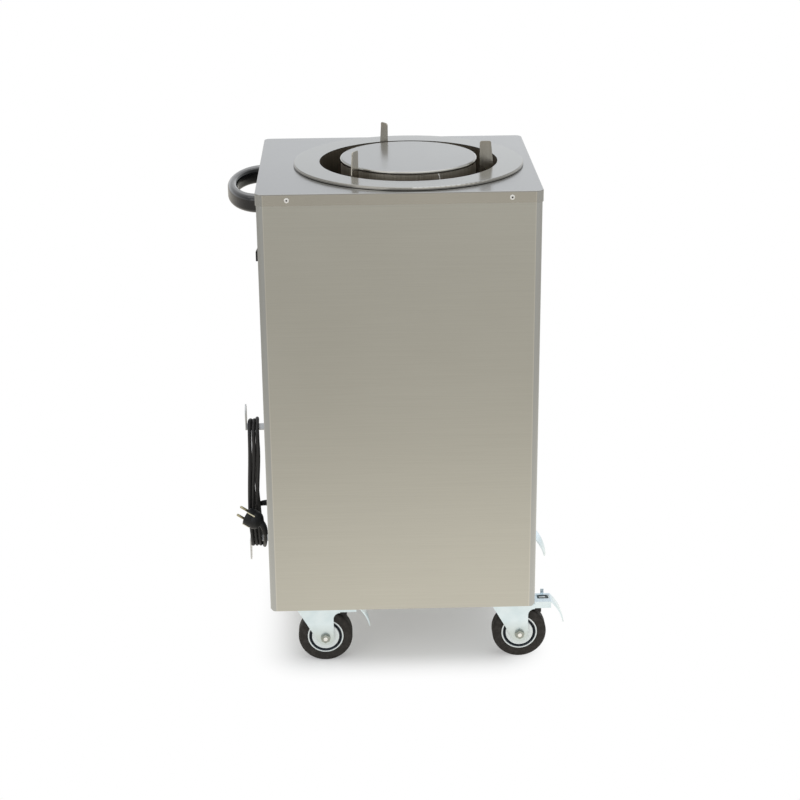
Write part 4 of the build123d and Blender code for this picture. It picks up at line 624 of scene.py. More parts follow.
def loft(name: str, rings: Sequence[Sequence[Vector]], closed: bool = False) -> bpy.types.Mesh:
    """Skin a row of closed rings, and cap both ends or join the last ring to the first.

    Args:
        name: The mesh's name.
        rings: Rings with the same number of corners.
        closed: Whether the row of rings closes on itself.

    Returns:
        The closed mesh.
    """
    count, last = len(rings[0]), len(rings)
    faces: list[Sequence[int]] = []
    for row in range(last if closed else last - 1):
        low, high = row * count, (row + 1) % last * count
        faces += [(low + i, low + (i + 1) % count, high + (i + 1) % count, high + i) for i in range(count)]
    if not closed:
        faces.append(range(count - 1, -1, -1))
        faces.append(range((last - 1) * count, last * count))
    mesh = mesh_of(name, [corner for ring in rings for corner in ring], faces)
    work = bmesh.new()
    work.from_mesh(mesh)
    bmesh.ops.recalc_face_normals(work, faces=work.faces)
    work.to_mesh(mesh)
    work.free()
    return mesh


def ring_at(centre: Vector, x_axis: Vector, y_axis: Vector, radius_x: float, radius_y: float,
            count: int = 32) -> list[Vector]:
    """Return the corners of an ellipse.

    Args:
        centre: Its centre.
        x_axis: The direction of its first half axis.
        y_axis: The direction of its second half axis.
        radius_x: The first half axis.
        radius_y: The second half axis.
        count: How many corners it has.

    Returns:
        The corners in order.
    """
    turns = [2 * math.pi * i / count for i in range(count)]
    return [centre + x_axis * radius_x * math.cos(turn) + y_axis * radius_y * math.sin(turn)
            for turn in turns]


def turned(name: str, profile: Sequence[tuple[float, float]], centre: Vector, axis: Vector,
           hollow: bool = False, count: int = 48) -> bpy.types.Mesh:
    """Turn a profile about an axis.

    Args:
        name: The mesh's name.
        profile: Radius and place along the axis of each corner.
        centre: The axis's zero point.
        axis: The axis's direction.
        hollow: Whether the profile is a closed outline, as of a washer.
        count: How many corners each ring has.

    Returns:
        The closed mesh.
    """
    ahead = axis.normalized()
    side = ahead.orthogonal().normalized()
    rings = [ring_at(centre + ahead * along, side, ahead.cross(side), radius, radius, count)
             for radius, along in profile]
    return loft(name, rings, hollow)


def tube_along(name: str, path: Sequence[Vector], radii: Sequence[float], count: int = 24) -> bpy.types.Mesh:
    """Make a round tube of changing radius along a path.

    Args:
        name: The mesh's name.
        path: Points along its centre.
        radii: Its radius at each point.
        count: How many corners each ring has.

    Returns:
        The closed mesh.
    """
    rings = []
    side = Vector((0.0, 0.0, 1.0)).cross(path[1] - path[0])
    for i, (point, radius) in enumerate(zip(path, radii)):
        ahead = path[min(i + 1, len(path) - 1)] - path[max(i - 1, 0)]
        ahead.normalize()
        side = (side - ahead * side.dot(ahead)).normalized()
        rings.append(ring_at(point, side, ahead.cross(side), radius, radius, count))
    return loft(name, rings)


def rounded_slab(name: str, outline: Sequence[Vector | Point], depth: Vector, edge: float) -> bpy.types.Mesh:
    """Extrude a flat outline and round every edge.

    Args:
        name: The mesh's name.
        outline: The outline's corners.
        depth: How far and which way it is extruded.
        edge: The radius of its edges.

    Returns:
        The closed mesh.
    """
    work = bmesh.new()
    face = work.faces.new([work.verts.new(Vector(corner)) for corner in outline])
    grown = bmesh.ops.extrude_face_region(work, geom=[face])["geom"]
    moved = [made for made in grown if isinstance(made, bmesh.types.BMVert)]
    bmesh.ops.translate(work, verts=moved, vec=depth)
    bmesh.ops.recalc_face_normals(work, faces=work.faces)
    bmesh.ops.bevel(work, geom=list(work.edges), offset=edge, segments=2, profile=0.5, affect="EDGES")
    mesh = bpy.data.meshes.new(name)
    work.to_mesh(mesh)
    work.free()
    return mesh


def spline_curve(name: str, points: Iterable[Point | Vector], radius: float = 0.0) -> bpy.types.Curve:
    """Make a curve of one smooth NURBS spline.

    Args:
        name: The curve's name.
        points: Its control points, in metres.
        radius: The radius of its round section, or zero for a bare line.

    Returns:
        The curve.
    """
    listed = [Vector(p) for p in points]
    curve = bpy.data.curves.new(name, "CURVE")
    curve.dimensions = "3D"
    spline = curve.splines.new("NURBS")
    spline.points.add(len(listed) - 1)
    for control, point in zip(spline.points, listed):
        control.co = (*point, 1.0)
    spline.order_u = 3
    spline.use_endpoint_u = True
    spline.resolution_u = 8
    curve.bevel_depth = radius
    curve.bevel_resolution = 6
    curve.use_fill_caps = True
    return curve


def line_of(points: Iterable[Point | Vector]) -> list[Vector]:
    """Read the smooth line of a spline with these control points.

    Args:
        points: The control points, in metres.

    Returns:
        Points along the line, in order.
    """
    curve = spline_curve("bare_line", points)
    probe = bpy.data.objects.new("probe", curve)
    bpy.context.scene.collection.objects.link(probe)
    mesh = bpy.data.meshes.new_from_object(probe)
    along = [v.co.copy() for v in mesh.vertices]
    bpy.data.objects.remove(probe)
    bpy.data.meshes.remove(mesh)
    bpy.data.curves.remove(curve)
    return along


def first_part(line: Sequence[Vector], length: float) -> list[Vector]:
    """Return the start of a line.

    Args:
        line: Points along the line, in order.
        length: How much of it to keep.

    Returns:
        The points up to that length.
    """
    kept, gone = [line[0]], 0.0
    for before, after in zip(line, line[1:]):
        gone += (after - before).length
        if gone > length:
            break
        kept.append(after)
    return kept


# ---- Cabinet ----
@dataclass
class Cabinet:
    """The folded walls, the riveted cover, the rear panel and the tray."""

    half_width: float = 242.5 * MM
    half_depth: float = 216.5 * MM
    rivet_x: float = 189.0 * MM
    rivet_y: float = 163.0 * MM
    rivet_z: float = 891.5 * MM
    mandrel_radius: float = 1.5 * MM
    # Share of the mandrel's radius, and distance out of the wall.
    mandrel_profile: tuple[tuple[float, float], ...] = (
        (1.0, 0.2 * MM), (1.0, 1.34 * MM), (0.8, 1.42 * MM), (0.35, 1.46 * MM))
    finishes: dict[str, Finish] = field(default_factory=lambda: {
        "body_shell": Finish.WALL, "rear_panel": Finish.REAR, "top_cover": Finish.COVER,
        "base_pan": Finish.REAR, "cover_rivets": Finish.RIVET, "panel_screws": Finish.FASTENER})

    def mandrels(self) -> bpy.types.Mesh:
        """Make the broken steel mandrel in each rivet's bore: a short pin with a domed end.

        Returns:
            All eight pins.
        """
        profile = [(share * self.mandrel_radius, out) for share, out in self.mandrel_profile]
        places = [(Vector((side * self.rivet_x, way * self.half_depth, self.rivet_z)), Vector((0, way, 0)))
                  for side in (-1, 1) for way in (-1, 1)]
        places += [(Vector((side * self.half_width, way * self.rivet_y, self.rivet_z)), Vector((side, 0, 0)))
                   for side in (-1, 1) for way in (-1, 1)]
        pins = [turned("pin", profile, place, out, count=16) for place, out in places]
        return joined("rivet_mandrels", pins)

    def build(self) -> None:
        """Dress the sheets and fill the rivets' bores."""
        dress(self.finishes)
        new_piece("rivet_mandrels", self.mandrels(), Finish.MANDREL, "cabinet")


@dataclass
class PlateWell:
    """The ring, the tube, the heater and what carries them."""

    finishes: dict[str, Finish] = field(default_factory=lambda: {
        "ring_flange": Finish.RING, "dispenser_tube": Finish.WELL, "tube_stays": Finish.ZINC,
        "heat_shield": Finish.WELL, "heater_element": Finish.HEATER, "limit_thermostat": Finish.RESIN,
        "lift_springs": Finish.SPRING, "spring_hangers": Finish.ZINC, "guide_brackets": Finish.WELL,
        "guide_rear": Finish.GUIDE, "guide_left": Finish.GUIDE, "guide_right": Finish.GUIDE})

    def build(self) -> None:
        """Dress the well's nodes."""
        dress(self.finishes)


@dataclass
class Platform:
    """The sprung plate rest, its skirt with a welded seam, and its carriage."""

    seam_radius: float = 120.2 * MM
    skirt_top: float = 911.0 * MM
    skirt_bottom: float = 846.0 * MM
    # Where the seam starts round the skirt and how far it leans, both in degrees, and how soon: below one, it
    # leans most at its top.
    seam_turn: float = -67.6
    seam_lean: float = 5.5
    seam_curl: float = 0.45
    seam_size: float = 0.9 * MM
    seam_steps: int = 12
    seam_corners: int = 10
    finishes: dict[str, Finish] = field(default_factory=lambda: {
        "platform_disc": Finish.DISC, "platform_skirt": Finish.SKIRT, "lift_carriage": Finish.ZINC})

    def seam(self) -> bpy.types.Mesh:
        """Make the welded seam: a thin raised bead that wanders a little round the skirt.

        Returns:
            The bead.
        """
        path = []
        for i in range(self.seam_steps + 1):
            share = i / self.seam_steps
            turn = math.radians(self.seam_turn + self.seam_lean * share ** self.seam_curl)
            path.append(Vector((WELL_X + self.seam_radius * math.cos(turn), self.seam_radius * math.sin(turn),
                                self.skirt_top + share * (self.skirt_bottom - self.skirt_top))))
        return tube_along("skirt_seam", path, [self.seam_size] * len(path), self.seam_corners)

    def build(self) -> None:
        """Dress the platform's nodes and add the seam."""
        dress(self.finishes)
        # The seam's bead is coloured nearly white, a painted glint.
        new_piece("skirt_seam", self.seam(), Finish.SEAM, "platform")


# ---- Left wall ----
@dataclass
class ControlPanel:
    """The handle, the knob, the switch and the lamp, with their printed marks."""

    face_x: float = -242.5 * MM
    control_z: float = 767.0 * MM
    print_depth: float = 0.12 * MM
    print_edge: float = 0.03 * MM
    knob_y: float = -100.0 * MM
    knob_face_x: float = -245.8 * MM
    pointer_span: tuple[float, float] = (12.4 * MM, 18.2 * MM)
    pointer_half: float = 0.7 * MM
    pointer_depth: float = 0.15 * MM
    pointer_edge: float = 0.05 * MM
    # Each figure on the dial and its clockwise turn from the top, in degrees.
    dial: dict[str, float] = field(default_factory=lambda: {
        "0": 0.0, "30": 67.5, "50": 135.0, "70": 202.5, "90": 270.0})
    long_tick: tuple[float, float, float] = (21.6 * MM, 24.2 * MM, 0.8 * MM)
    short_tick: tuple[float, float, float] = (21.6 * MM, 23.0 * MM, 0.45 * MM)
    tick_step: int = 15
    figure_radius: float = 27.6 * MM
    figure_height: float = 3.6 * MM
    # The font's size divided by the height of its figures.
    font_share: float = 1.4
    switch_y: float = -35.0 * MM
    rocker_pivot_x: float = -242.0 * MM
    rocker_reach: float = 5.5 * MM
    rocker_half: float = 11.0 * MM
    rocker_dish: float = 1.6 * MM
    # Degrees from upright, at rest.
    rocker_tilt: float = 8.0
    on_mark_half: float = 0.5 * MM
    on_mark_span: tuple[float, float] = (4.2 * MM, 8.4 * MM)
    off_mark_up: float = -6.3 * MM
    off_mark_radii: tuple[float, float] = (1.7 * MM, 1.9 * MM)
    off_mark_line: tuple[float, float] = (0.15 * MM, 0.35 * MM)
    off_mark_proud: float = 0.048 * MM
    off_mark_steps: int = 24
    finishes: dict[str, Finish] = field(default_factory=lambda: {
        "control_plate": Finish.PLATE, "thermostat_body": Finish.RESIN, "thermostat_knob": Finish.CONTROL,
        "switch_housing": Finish.CONTROL, "power_rocker": Finish.CONTROL, "pilot_lamp": Finish.LENS,
        "handle_bow": Finish.HANDLE, "handle_bolts": Finish.FASTENER, "cord_hooks": Finish.HOOK,
        "hook_screws": Finish.FASTENER, "cable_gland": Finish.CONTROL, "terminal_block": Finish.RESIN})

    def on_dial(self, turn: float, radius: float) -> Vector:
        """Return a place on the plate, round the knob.

        Args:
            turn: Its clockwise turn from the top, in degrees.
            radius: Its distance from the knob's middle.

        Returns:
            The place.
        """
        angle = math.radians(turn)
        return Vector((self.face_x, self.knob_y - radius * math.sin(angle),
                       self.control_z + radius * math.cos(angle)))

    def tick(self, turn: float, near: float, far: float, width: float) -> bpy.types.Mesh:
        """Make one printed tick.

        Args:
            turn: Its place round the dial in degrees.
            near: Its inner radius.
            far: Its outer radius.
            width: Its width.

        Returns:
            The tick.
        """
        start, end = self.on_dial(turn, near), self.on_dial(turn, far)
        across = (end - start).normalized().cross(Vector((1, 0, 0))) * width / 2
        return rounded_slab("tick", [start - across, end - across, end + across, start + across],
                            Vector((-self.print_depth, 0, 0)), self.print_edge)

    def words(self, text: str, place: Vector) -> bpy.types.Mesh:
        """Make printed figures on the plate.

        Args:
            text: The figures.
            place: Their centre.

        Returns:
            Their mesh.
        """
        curve = bpy.data.curves.new("figures", "FONT")
        curve.body, curve.size = text, self.figure_height * self.font_share
        curve.align_x, curve.align_y = "CENTER", "CENTER"
        curve.extrude = self.print_depth / 2
        holder = bpy.data.objects.new("figures", curve)
        bpy.context.scene.collection.objects.link(holder)
        mesh = bpy.data.meshes.new_from_object(holder)
        bpy.data.objects.remove(holder)
        bpy.data.curves.remove(curve)
        # The figures' right is -Y, their top +Z, and they face out along -X.
        basis = Matrix(((0, 0, -1), (-1, 0, 0), (0, 1, 0))).to_4x4()
        mesh.transform(Matrix.Translation(place) @ basis)
        return mesh

    def dial_marks(self) -> bpy.types.Mesh:
        """Make the temperature scale round the knob.

        Returns:
            Its ticks and figures.
        """
        turns = self.dial.values()
        parts = [self.tick(turn, *self.long_tick) for turn in turns]
        parts += [self.tick(turn, *self.short_tick)
                  for turn in range(self.tick_step, round(max(turns)), self.tick_step) if turn not in turns]
        parts += [self.words(text, self.on_dial(turn, self.figure_radius))
                  for text, turn in self.dial.items()]
        return joined("dial_marks", parts)

    def on_rocker(self, across: float, up: float) -> Vector:
        """Return the place on the rocker's dished, tilted face.

        Args:
            across: How far towards the rear it is from the rocker's middle.
            up: How far above the pivot it is, along the face.

        Returns:
            The place.
        """
        dish = self.rocker_dish * (1 - (up / self.rocker_half) ** 2)
        out = -self.rocker_reach + dish
        tilt = math.radians(self.rocker_tilt)
        return Vector((self.rocker_pivot_x + out * math.cos(tilt) + up * math.sin(tilt),
                       self.switch_y + across,
                       self.control_z - out * math.sin(tilt) + up * math.cos(tilt)))

    def rocker_marks(self) -> bpy.types.Mesh:
        """Make the printed line for on and circle for off.

        Returns:
            Both marks.
        """
        low, high = self.on_mark_span
        half, middle = self.on_mark_half, self.off_mark_up
        corners = ((-half, low), (half, low), (half, high), (-half, high))
        bar = [self.on_rocker(across, up) for across, up in corners]
        line = rounded_slab("on_mark", bar, Vector((-self.print_depth, 0, 0)), self.print_edge)
        turns = [2 * math.pi * i / self.off_mark_steps for i in range(self.off_mark_steps)]
        wide, tall = self.off_mark_radii
        loop = [self.on_rocker(wide * math.cos(turn), middle + tall * math.sin(turn))
                - Vector((self.off_mark_proud, 0, 0)) for turn in turns]
        rings = [ring_at(point, Vector((1, 0, 0)), (point - self.on_rocker(0, middle)).normalized(),
                         *self.off_mark_line, 8) for point in loop]
        return joined("rocker_marks", [line, loft("off_mark", rings, True)])

    def pointer(self) -> bpy.types.Mesh:
        """Make the white line inlaid in the knob's skirt, above the grip.

        Returns:
            The line.
        """
        low, high = (self.control_z + up for up in self.pointer_span)
        left, right, face = self.knob_y - self.pointer_half, self.knob_y + self.pointer_half, self.knob_face_x
        outline = [(face, left, low), (face, right, low), (face, right, high), (face, left, high)]
        return rounded_slab("knob_pointer", outline, Vector((-self.pointer_depth, 0, 0)), self.pointer_edge)

    def build(self) -> None:
        """Dress the left wall's nodes and print their marks."""
        dress(self.finishes)
        new_piece("dial_marks", self.dial_marks(), Finish.PRINT, "cabinet")
        new_piece("rocker_marks", self.rocker_marks(), Finish.MARK, "rocker")
        new_piece("knob_pointer", self.pointer(), Finish.MARK, "knob")


# ---- Cord ----
@dataclass
class MainsCord:
    """The mains cord: out of its gland, wound three times on the hooks, from the tips inwards, to its plug.

    Each turn climbs in front of the hooks and comes down behind them. The X places keep every strand a cord's
    width from the next.
    """

    radius: float = 3.5 * MM
    length: float = 1.85
    bend: float = 21.7 * MM
    outer_bend: float = 29.0 * MM
    last_bend: float = 22.4 * MM
    arc_steps: int = 6
    last_steps: int = 3
    # The heights of the bends' middles at the upper and the lower hook.
    high: float = 393.8 * MM
    low: float = 184.2 * MM
    # The heights between the hooks at which the strands' X places are given, as shares of the span.
    shares: tuple[float, ...] = (0.2, 0.5, 0.8)
    foot_x: tuple[float, ...] = (-280.3 * MM, -273.0 * MM, -265.8 * MM)
    top_x: tuple[float, ...] = (-278.4 * MM, -271.2 * MM, -264.0 * MM)
    front_x: tuple[tuple[float, ...], ...] = (
        (-283.8 * MM, -282.2 * MM, -279.0 * MM), (-277.0 * MM, -276.0 * MM, -270.6 * MM),
        (-269.3 * MM, -267.4 * MM, -262.6 * MM))
    rear_x: tuple[tuple[float, ...], ...] = (
        (-274.5 * MM, -279.5 * MM, -273.4 * MM), (-267.8 * MM, -271.6 * MM, -266.0 * MM),
        (-269.0 * MM, -272.0 * MM, -266.6 * MM))
    last_foot: tuple[float, float] = (-266.0 * MM, -259.4 * MM)
    # At each step over the upper hook: its share of the way to its rear place, and to the outer bend.
    over_spread: tuple[float, ...] = (0.0, 0.0, 0.0, 0.0, 0.33, 0.67, 1.0)
    over_lift: tuple[float, ...] = (0.0, 0.0, 0.02, 0.12, 0.5, 0.8, 1.0)
    exit: Point = (-0.2515, 0.030, 0.234)
    gland_route: tuple[Point, ...] = (
        (-0.2595, 0.0300, 0.2340), (-0.2690, 0.0302, 0.2315), (-0.2752, 0.0302, 0.2240),
        (-0.2790, 0.0292, 0.2135), (-0.2808, 0.0270, 0.2030), (-0.2808, 0.0240, 0.1930))
    plug_route: tuple[Point, ...] = (
        (-0.2582, -0.0150, 0.1648), (-0.2572, -0.0262, 0.1710), (-0.2560, -0.0380, 0.1790),
        (-0.2548, -0.0480, 0.1870), (-0.2540, -0.0550, 0.1968))
    sleeve_length: float = 24.0 * MM
    sleeve_radii: tuple[float, float] = (6.0 * MM, 4.2 * MM)
    sleeve_rib: float = 0.35 * MM

    def under(self, steps: int, places: Sequence[float], bends: Sequence[float]) -> list[Vector]:
        """Return the control points of a bend under the lower hook, from the rear forwards.

        Args:
            steps: How many steps of the half circle it has.
            places: Its X place at the start and at the end.
            bends: Its radius at the start and at the end.

        Returns:
            The control points.
        """
        points = []
        for i in range(steps + 1):
            angle, share = -i * math.pi / self.arc_steps, i / steps
            wide = bends[0] + (bends[1] - bends[0]) * share
            points.append(Vector((places[0] + (places[1] - places[0]) * share, wide * math.cos(angle),
                                  self.low + wide * math.sin(angle))))
        return points

    def turn_points(self, turn: int) -> list[Vector]:
        """Return the control points of one turn: under the lower hook, up, over the upper hook and down.

        Args:
            turn: Its number, from zero at the hooks' tips.

        Returns:
            The control points.
        """
        span = self.high - self.low
        rear = self.outer_bend if turn == len(self.top_x) - 1 else self.bend
        points = self.under(self.arc_steps, [self.foot_x[turn]] * 2, [self.bend] * 2)
        points += [Vector((x, -self.bend, self.low + span * share))
                   for x, share in zip(self.front_x[turn], self.shares)]
        shift = self.rear_x[turn][-1] - self.top_x[turn]
        for i in range(self.arc_steps + 1):
            angle = math.pi - i * math.pi / self.arc_steps
            wide = self.bend + (rear - self.bend) * self.over_lift[i]
            points.append(Vector((self.top_x[turn] + shift * self.over_spread[i], wide * math.cos(angle),
                                  self.high + wide * math.sin(angle))))
        points += [Vector((x, rear, self.low + span * share))
                   for x, share in zip(reversed(self.rear_x[turn]), reversed(self.shares))]
        return points

    def route(self) -> list[Vector]:
        """Return every control point.

        Returns:
            The control points, from the gland to the plug.
        """
        points = [Vector(self.exit), *map(Vector, self.gland_route)]
        for turn in range(len(self.top_x)):
            points += self.turn_points(turn)
        points += self.under(self.last_steps, self.last_foot, (self.outer_bend, self.last_bend))
        return [*points, *map(Vector, self.plug_route), Vector(RELIEF_END)]

    def sleeve(self) -> bpy.types.Object:
        """Make the tapered, ribbed sleeve that carries the cord out of its gland.

        Returns:
            The sleeve.
        """
        path = first_part(line_of(self.route()), self.sleeve_length)
        start, end = self.sleeve_radii
        last = len(path) - 1
        radii = [start + (end - start) * i / last - (self.sleeve_rib if i % 2 and i < last else 0.0)
                 for i in range(last + 1)]
        mesh = tube_along("gland_sleeve", path, radii)
        return new_piece("gland_sleeve", mesh, Finish.PLUG, "cabinet")

    def build(self) -> bpy.types.Object:
        """Build the cord as one smooth curve.

        Returns:
            The cord.
        """
        curve = spline_curve("mains_cord_whole", self.route(), self.radius)
        cord = new_piece("mains_cord_whole", curve, Finish.CORD, "cabinet")
        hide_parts("mains_cord", "cord_hank")
        return cord


@dataclass
class Plug:
    """The moulded plug: a round body with a grip groove, and a ribbed strain relief that bends down.

    The sections and the pins' profile are pairs in millimetres: along the plug, and the radius there.
    """

    face: Point = (-0.2875, -0.044, 0.241)
    direction: Point = (-0.85, 0.34, 0.40)
    relief_corner: Point = (-0.2546, -0.0574, 0.2235)
    sections: tuple[tuple[float, float], ...] = (
        (-0.2, 14.6), (0.0, 15.6), (0.6, 16.8), (1.6, 17.6), (3.2, 18.0), (12.0, 18.0), (13.0, 17.3),
        (14.2, 17.3), (15.0, 17.8), (20.0, 17.5), (24.0, 16.2), (27.5, 13.8), (30.0, 10.8), (31.5, 8.2))
    relief_steps: int = 15
    relief_radius: float = 7.4 * MM
    relief_taper: float = 2.2 * MM
    relief_rib: float = 0.7 * MM
    body_corners: int = 40
    pin_half_spacing: float = 9.5 * MM
    pin_profile: tuple[tuple[float, float], ...] = (
        (-1.0, 2.4), (17.0, 2.4), (17.9, 2.2), (18.6, 1.7), (19.0, 1.0))
    pin_corners: int = 20
    # Each strip's place round the body in degrees, and its length.
    strips_at: tuple[tuple[float, float], ...] = ((48.0, 17.0 * MM), (-44.0, 14.0 * MM))
    strip_width: float = 2.2 * MM
    strip_radius: float = 18.8 * MM
    strip_depth: float = 1.4 * MM
    strip_inset: float = 0.6 * MM
    strip_edge: float = 0.3 * MM

    def body(self) -> bpy.types.Mesh:
        """Make the plug's body and relief as one moulding.

        Returns:
            The moulding.
        """
        start, back = Vector(self.face), -Vector(self.direction).normalized()
        path = [start + back * along * MM for along, _ in self.sections]
        radii = [radius * MM for _, radius in self.sections]
        neck, corner, end = path[-1], Vector(self.relief_corner), Vector(RELIEF_END)
        for i in range(1, self.relief_steps + 1):
            share = i / self.relief_steps
            path.append(neck * (1 - share) ** 2 + corner * 2 * share * (1 - share) + end * share ** 2)
            radii.append(self.relief_radius - self.relief_taper * share - (self.relief_rib if i % 2 else 0.0))
        return tube_along("plug_moulding", path, radii, self.body_corners)

    def pins(self) -> bpy.types.Mesh:
        """Make the two round pins with their rounded tips.

        Returns:
            Both pins.
        """
        ahead = Vector(self.direction).normalized()
        down = (ahead * ahead.z - Vector((0.0, 0.0, 1.0))).normalized()
        profile = [(radius * MM, along * MM) for along, radius in self.pin_profile]
        places = [Vector(self.face) + down * side * self.pin_half_spacing for side in (-1, 1)]
        return joined("plug_pins", [turned("pin", profile, place, ahead, count=self.pin_corners)
                                    for place in places])

    def strips(self) -> bpy.types.Mesh:
        """Make the two earth strips that lie in the moulding's sides.

        Returns:
            Both strips.
        """
        ahead = Vector(self.direction).normalized()
        across = Vector((0.0, 0.0, 1.0)).cross(ahead).normalized()
        up = ahead.cross(across)
        parts = []
        for turn, length in self.strips_at:
            out = across * math.cos(math.radians(turn)) + up * math.sin(math.radians(turn))
            side = ahead.cross(out) * self.strip_width / 2
            near = Vector(self.face) + out * (self.strip_radius - self.strip_depth) - ahead * self.strip_inset
            far = near - ahead * length
            parts.append(rounded_slab("strip", [near - side, near + side, far + side, far - side],
                                      out * self.strip_depth, self.strip_edge))
        return joined("plug_strips", parts)

    def build(self) -> list[bpy.types.Object]:
        """Replace the plug's body and pins, and add its earth strips.

        Returns:
            The pieces that go with the cord.
        """
        moulding = new_piece("plug_moulding", self.body(), Finish.PLUG, "cabinet")
        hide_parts("plug_body")
        pins = new_piece("plug_contacts", self.pins(), Finish.PIN, "cabinet")
        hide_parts("plug_pins")
        strips = new_piece("plug_strips", self.strips(), Finish.STRIP, "cabinet")
        return [moulding, pins, strips]


# ---- Casters ----
@dataclass
class Caster:
    """One braked swivel caster.

    Profiles are pairs of a radius and a distance out from the wheel's middle. Outlines are pairs in
    millimetres: along the caster's trail, and above the floor.
    """

    name: str
    side: int
    way: int
    turn: float
    swivel_x: float = 180.0 * MM
    swivel_y: float = 157.0 * MM
    trail: float = 37.0 * MM
    wheel_radius: float = 50.0 * MM
    groove_shade: tuple[float, float] = (26.12 * MM, 29.38 * MM)
    groove_depth: tuple[float, float] = (8.65 * MM, 13.2 * MM)
    # A thin lining of painted shade covers the groove and runs out onto the lip.
    shade_lip: float = 30.6 * MM
    lip_face: float = 13.55 * MM
    shade_skin: float = 0.25 * MM
    washer_profile: tuple[tuple[float, float], ...] = (
        (5.0 * MM, 20.4 * MM), (8.8 * MM, 20.4 * MM), (9.0 * MM, 20.7 * MM), (9.0 * MM, 21.7 * MM),
        (8.6 * MM, 22.1 * MM), (5.0 * MM, 22.1 * MM))
    stud_profile: tuple[tuple[float, float], ...] = (
        (4.0 * MM, 26.3 * MM), (4.0 * MM, 27.0 * MM), (3.2 * MM, 27.3 * MM), (1.6 * MM, 27.45 * MM))
    shoe_outline: tuple[tuple[float, float], ...] = ((63.4, 95.7), (77.3, 89.3), (77.3, 98.0), (63.4, 102.5))
    shoe_sides: tuple[float, float] = (-12.6 * MM, 12.6 * MM)
    shoe_edge: float = 0.5 * MM
    # Painted shade: a dark block under the pedal's slot.
    slot_shade_outline: tuple[tuple[float, float], ...] = (
        (69.8, 106.5), (92.2, 106.5), (92.2, 111.0), (88.0, 112.7), (74.0, 112.7), (69.8, 111.0))
    slot_shade_sides: tuple[float, float] = (-3.3 * MM, 10.3 * MM)
    slot_shade_edge: float = 0.4 * MM
    spring_outline: tuple[tuple[float, float], ...] = (
        (73.5, 112.2), (86.5, 112.2), (86.0, 113.0), (84.0, 113.4), (76.0, 113.4), (74.0, 113.0))
    spring_sides: tuple[float, float] = (1.2 * MM, 5.6 * MM)
    spring_edge: float = 0.25 * MM

    def at(self, ahead: float, across: float, up: float) -> Vector:
        """Return a place given from the swivel's axis.

        Args:
            ahead: How far it is along the caster's trail.
            across: How far it is to the trail's left.
            up: How far it is above the floor.

        Returns:
            The place.
        """
        angle = math.radians(self.turn)
        return Vector((self.side * self.swivel_x + ahead * math.cos(angle) - across * math.sin(angle),
                       self.way * self.swivel_y + ahead * math.sin(angle) + across * math.cos(angle), up))

    def both_faces(self, name: str, profile: Sequence[tuple[float, float]], hollow: bool,
                   count: int) -> bpy.types.Mesh:
        """Turn a profile about the wheel's axis, on each face of the wheel.

        Args:
            name: The mesh's name.
            profile: Radius and distance out from the wheel's middle.
            hollow: Whether the profile is a closed outline.
            count: How many corners each ring has.

        Returns:
            Both turned forms.
        """
        hub = self.at(self.trail, 0.0, self.wheel_radius)
        axis = self.at(self.trail, 1.0, self.wheel_radius) - hub
        return joined(name, [turned(name, profile, hub, axis * side, hollow, count) for side in (-1, 1)])

    def slab(self, name: str, outline: Sequence[tuple[float, float]], sides: tuple[float, float],
             edge: float) -> bpy.types.Mesh:
        """Extrude an outline across the caster.

        Args:
            name: The mesh's name.
            outline: Its corners along the trail and above the floor, in millimetres.
            sides: Where it starts and ends across the trail.
            edge: The radius of its edges.

        Returns:
            The closed mesh.
        """
        corners = [self.at(ahead * MM, sides[0], up * MM) for ahead, up in outline]
        return rounded_slab(name, corners, self.at(0, sides[1], 0) - self.at(0, sides[0], 0), edge)

    def groove_shade_linings(self) -> bpy.types.Mesh:
        """Make the painted shade in the groove and on the lip of each face of the rim.

        Returns:
            Both rings.
        """
        inner, outer = self.groove_shade
        low, high = self.groove_depth
        lip, face, skin = self.shade_lip, self.lip_face, self.shade_skin
        profile = [(inner, high), (inner, low), (outer, low), (outer, face), (lip, face),
                   (lip, face + skin), (outer - skin, face + skin), (outer - skin, low + skin),
                   (inner + skin, low + skin), (inner + skin, high)]
        return self.both_faces("groove_shade_linings", profile, True, 72)

    def build(self) -> None:
        """Dress the caster's nodes and add its groove's painted shade, washers, studs, shoe, the slot's painted
        shade and its spring.
        """
        name, brake, swivel = self.name, f"brake_{self.name}", f"swivel_{self.name}"
        dress({f"fork_{name}": Finish.ZINC, f"axle_{name}": Finish.NUT, f"rim_{name}": Finish.RIM,
               f"tyre_{name}": Finish.TYRE, f"pedal_{name}": Finish.ZINC})
        washers = self.both_faces("washers", self.washer_profile, True, 40)
        studs = self.both_faces("studs", self.stud_profile, False, 24)
        shoe = self.slab("brake_shoe", self.shoe_outline, self.shoe_sides, self.shoe_edge)
        # Painted shade seen through the pedal's slot.
        slot_shade = self.slab("pedal_slot_shade", self.slot_shade_outline, self.slot_shade_sides, self.slot_shade_edge)
        spring = self.slab("catch_spring", self.spring_outline, self.spring_sides, self.spring_edge)
        # The groove's lining is painted shade.
        new_piece(f"groove_{name}", self.groove_shade_linings(), Finish.GROOVE, f"wheel_{name}")
        new_piece(f"washers_{name}", washers, Finish.NUT, swivel)
        new_piece(f"axle_studs_{name}", studs, Finish.RIVET, swivel)
        new_piece(f"brake_shoe_{name}", shoe, Finish.SHOE, brake)
        new_piece(f"pedal_slot_shade_{name}", slot_shade, Finish.CATCH, brake)
        new_piece(f"catch_spring_{name}", spring, Finish.FASTENER, brake)


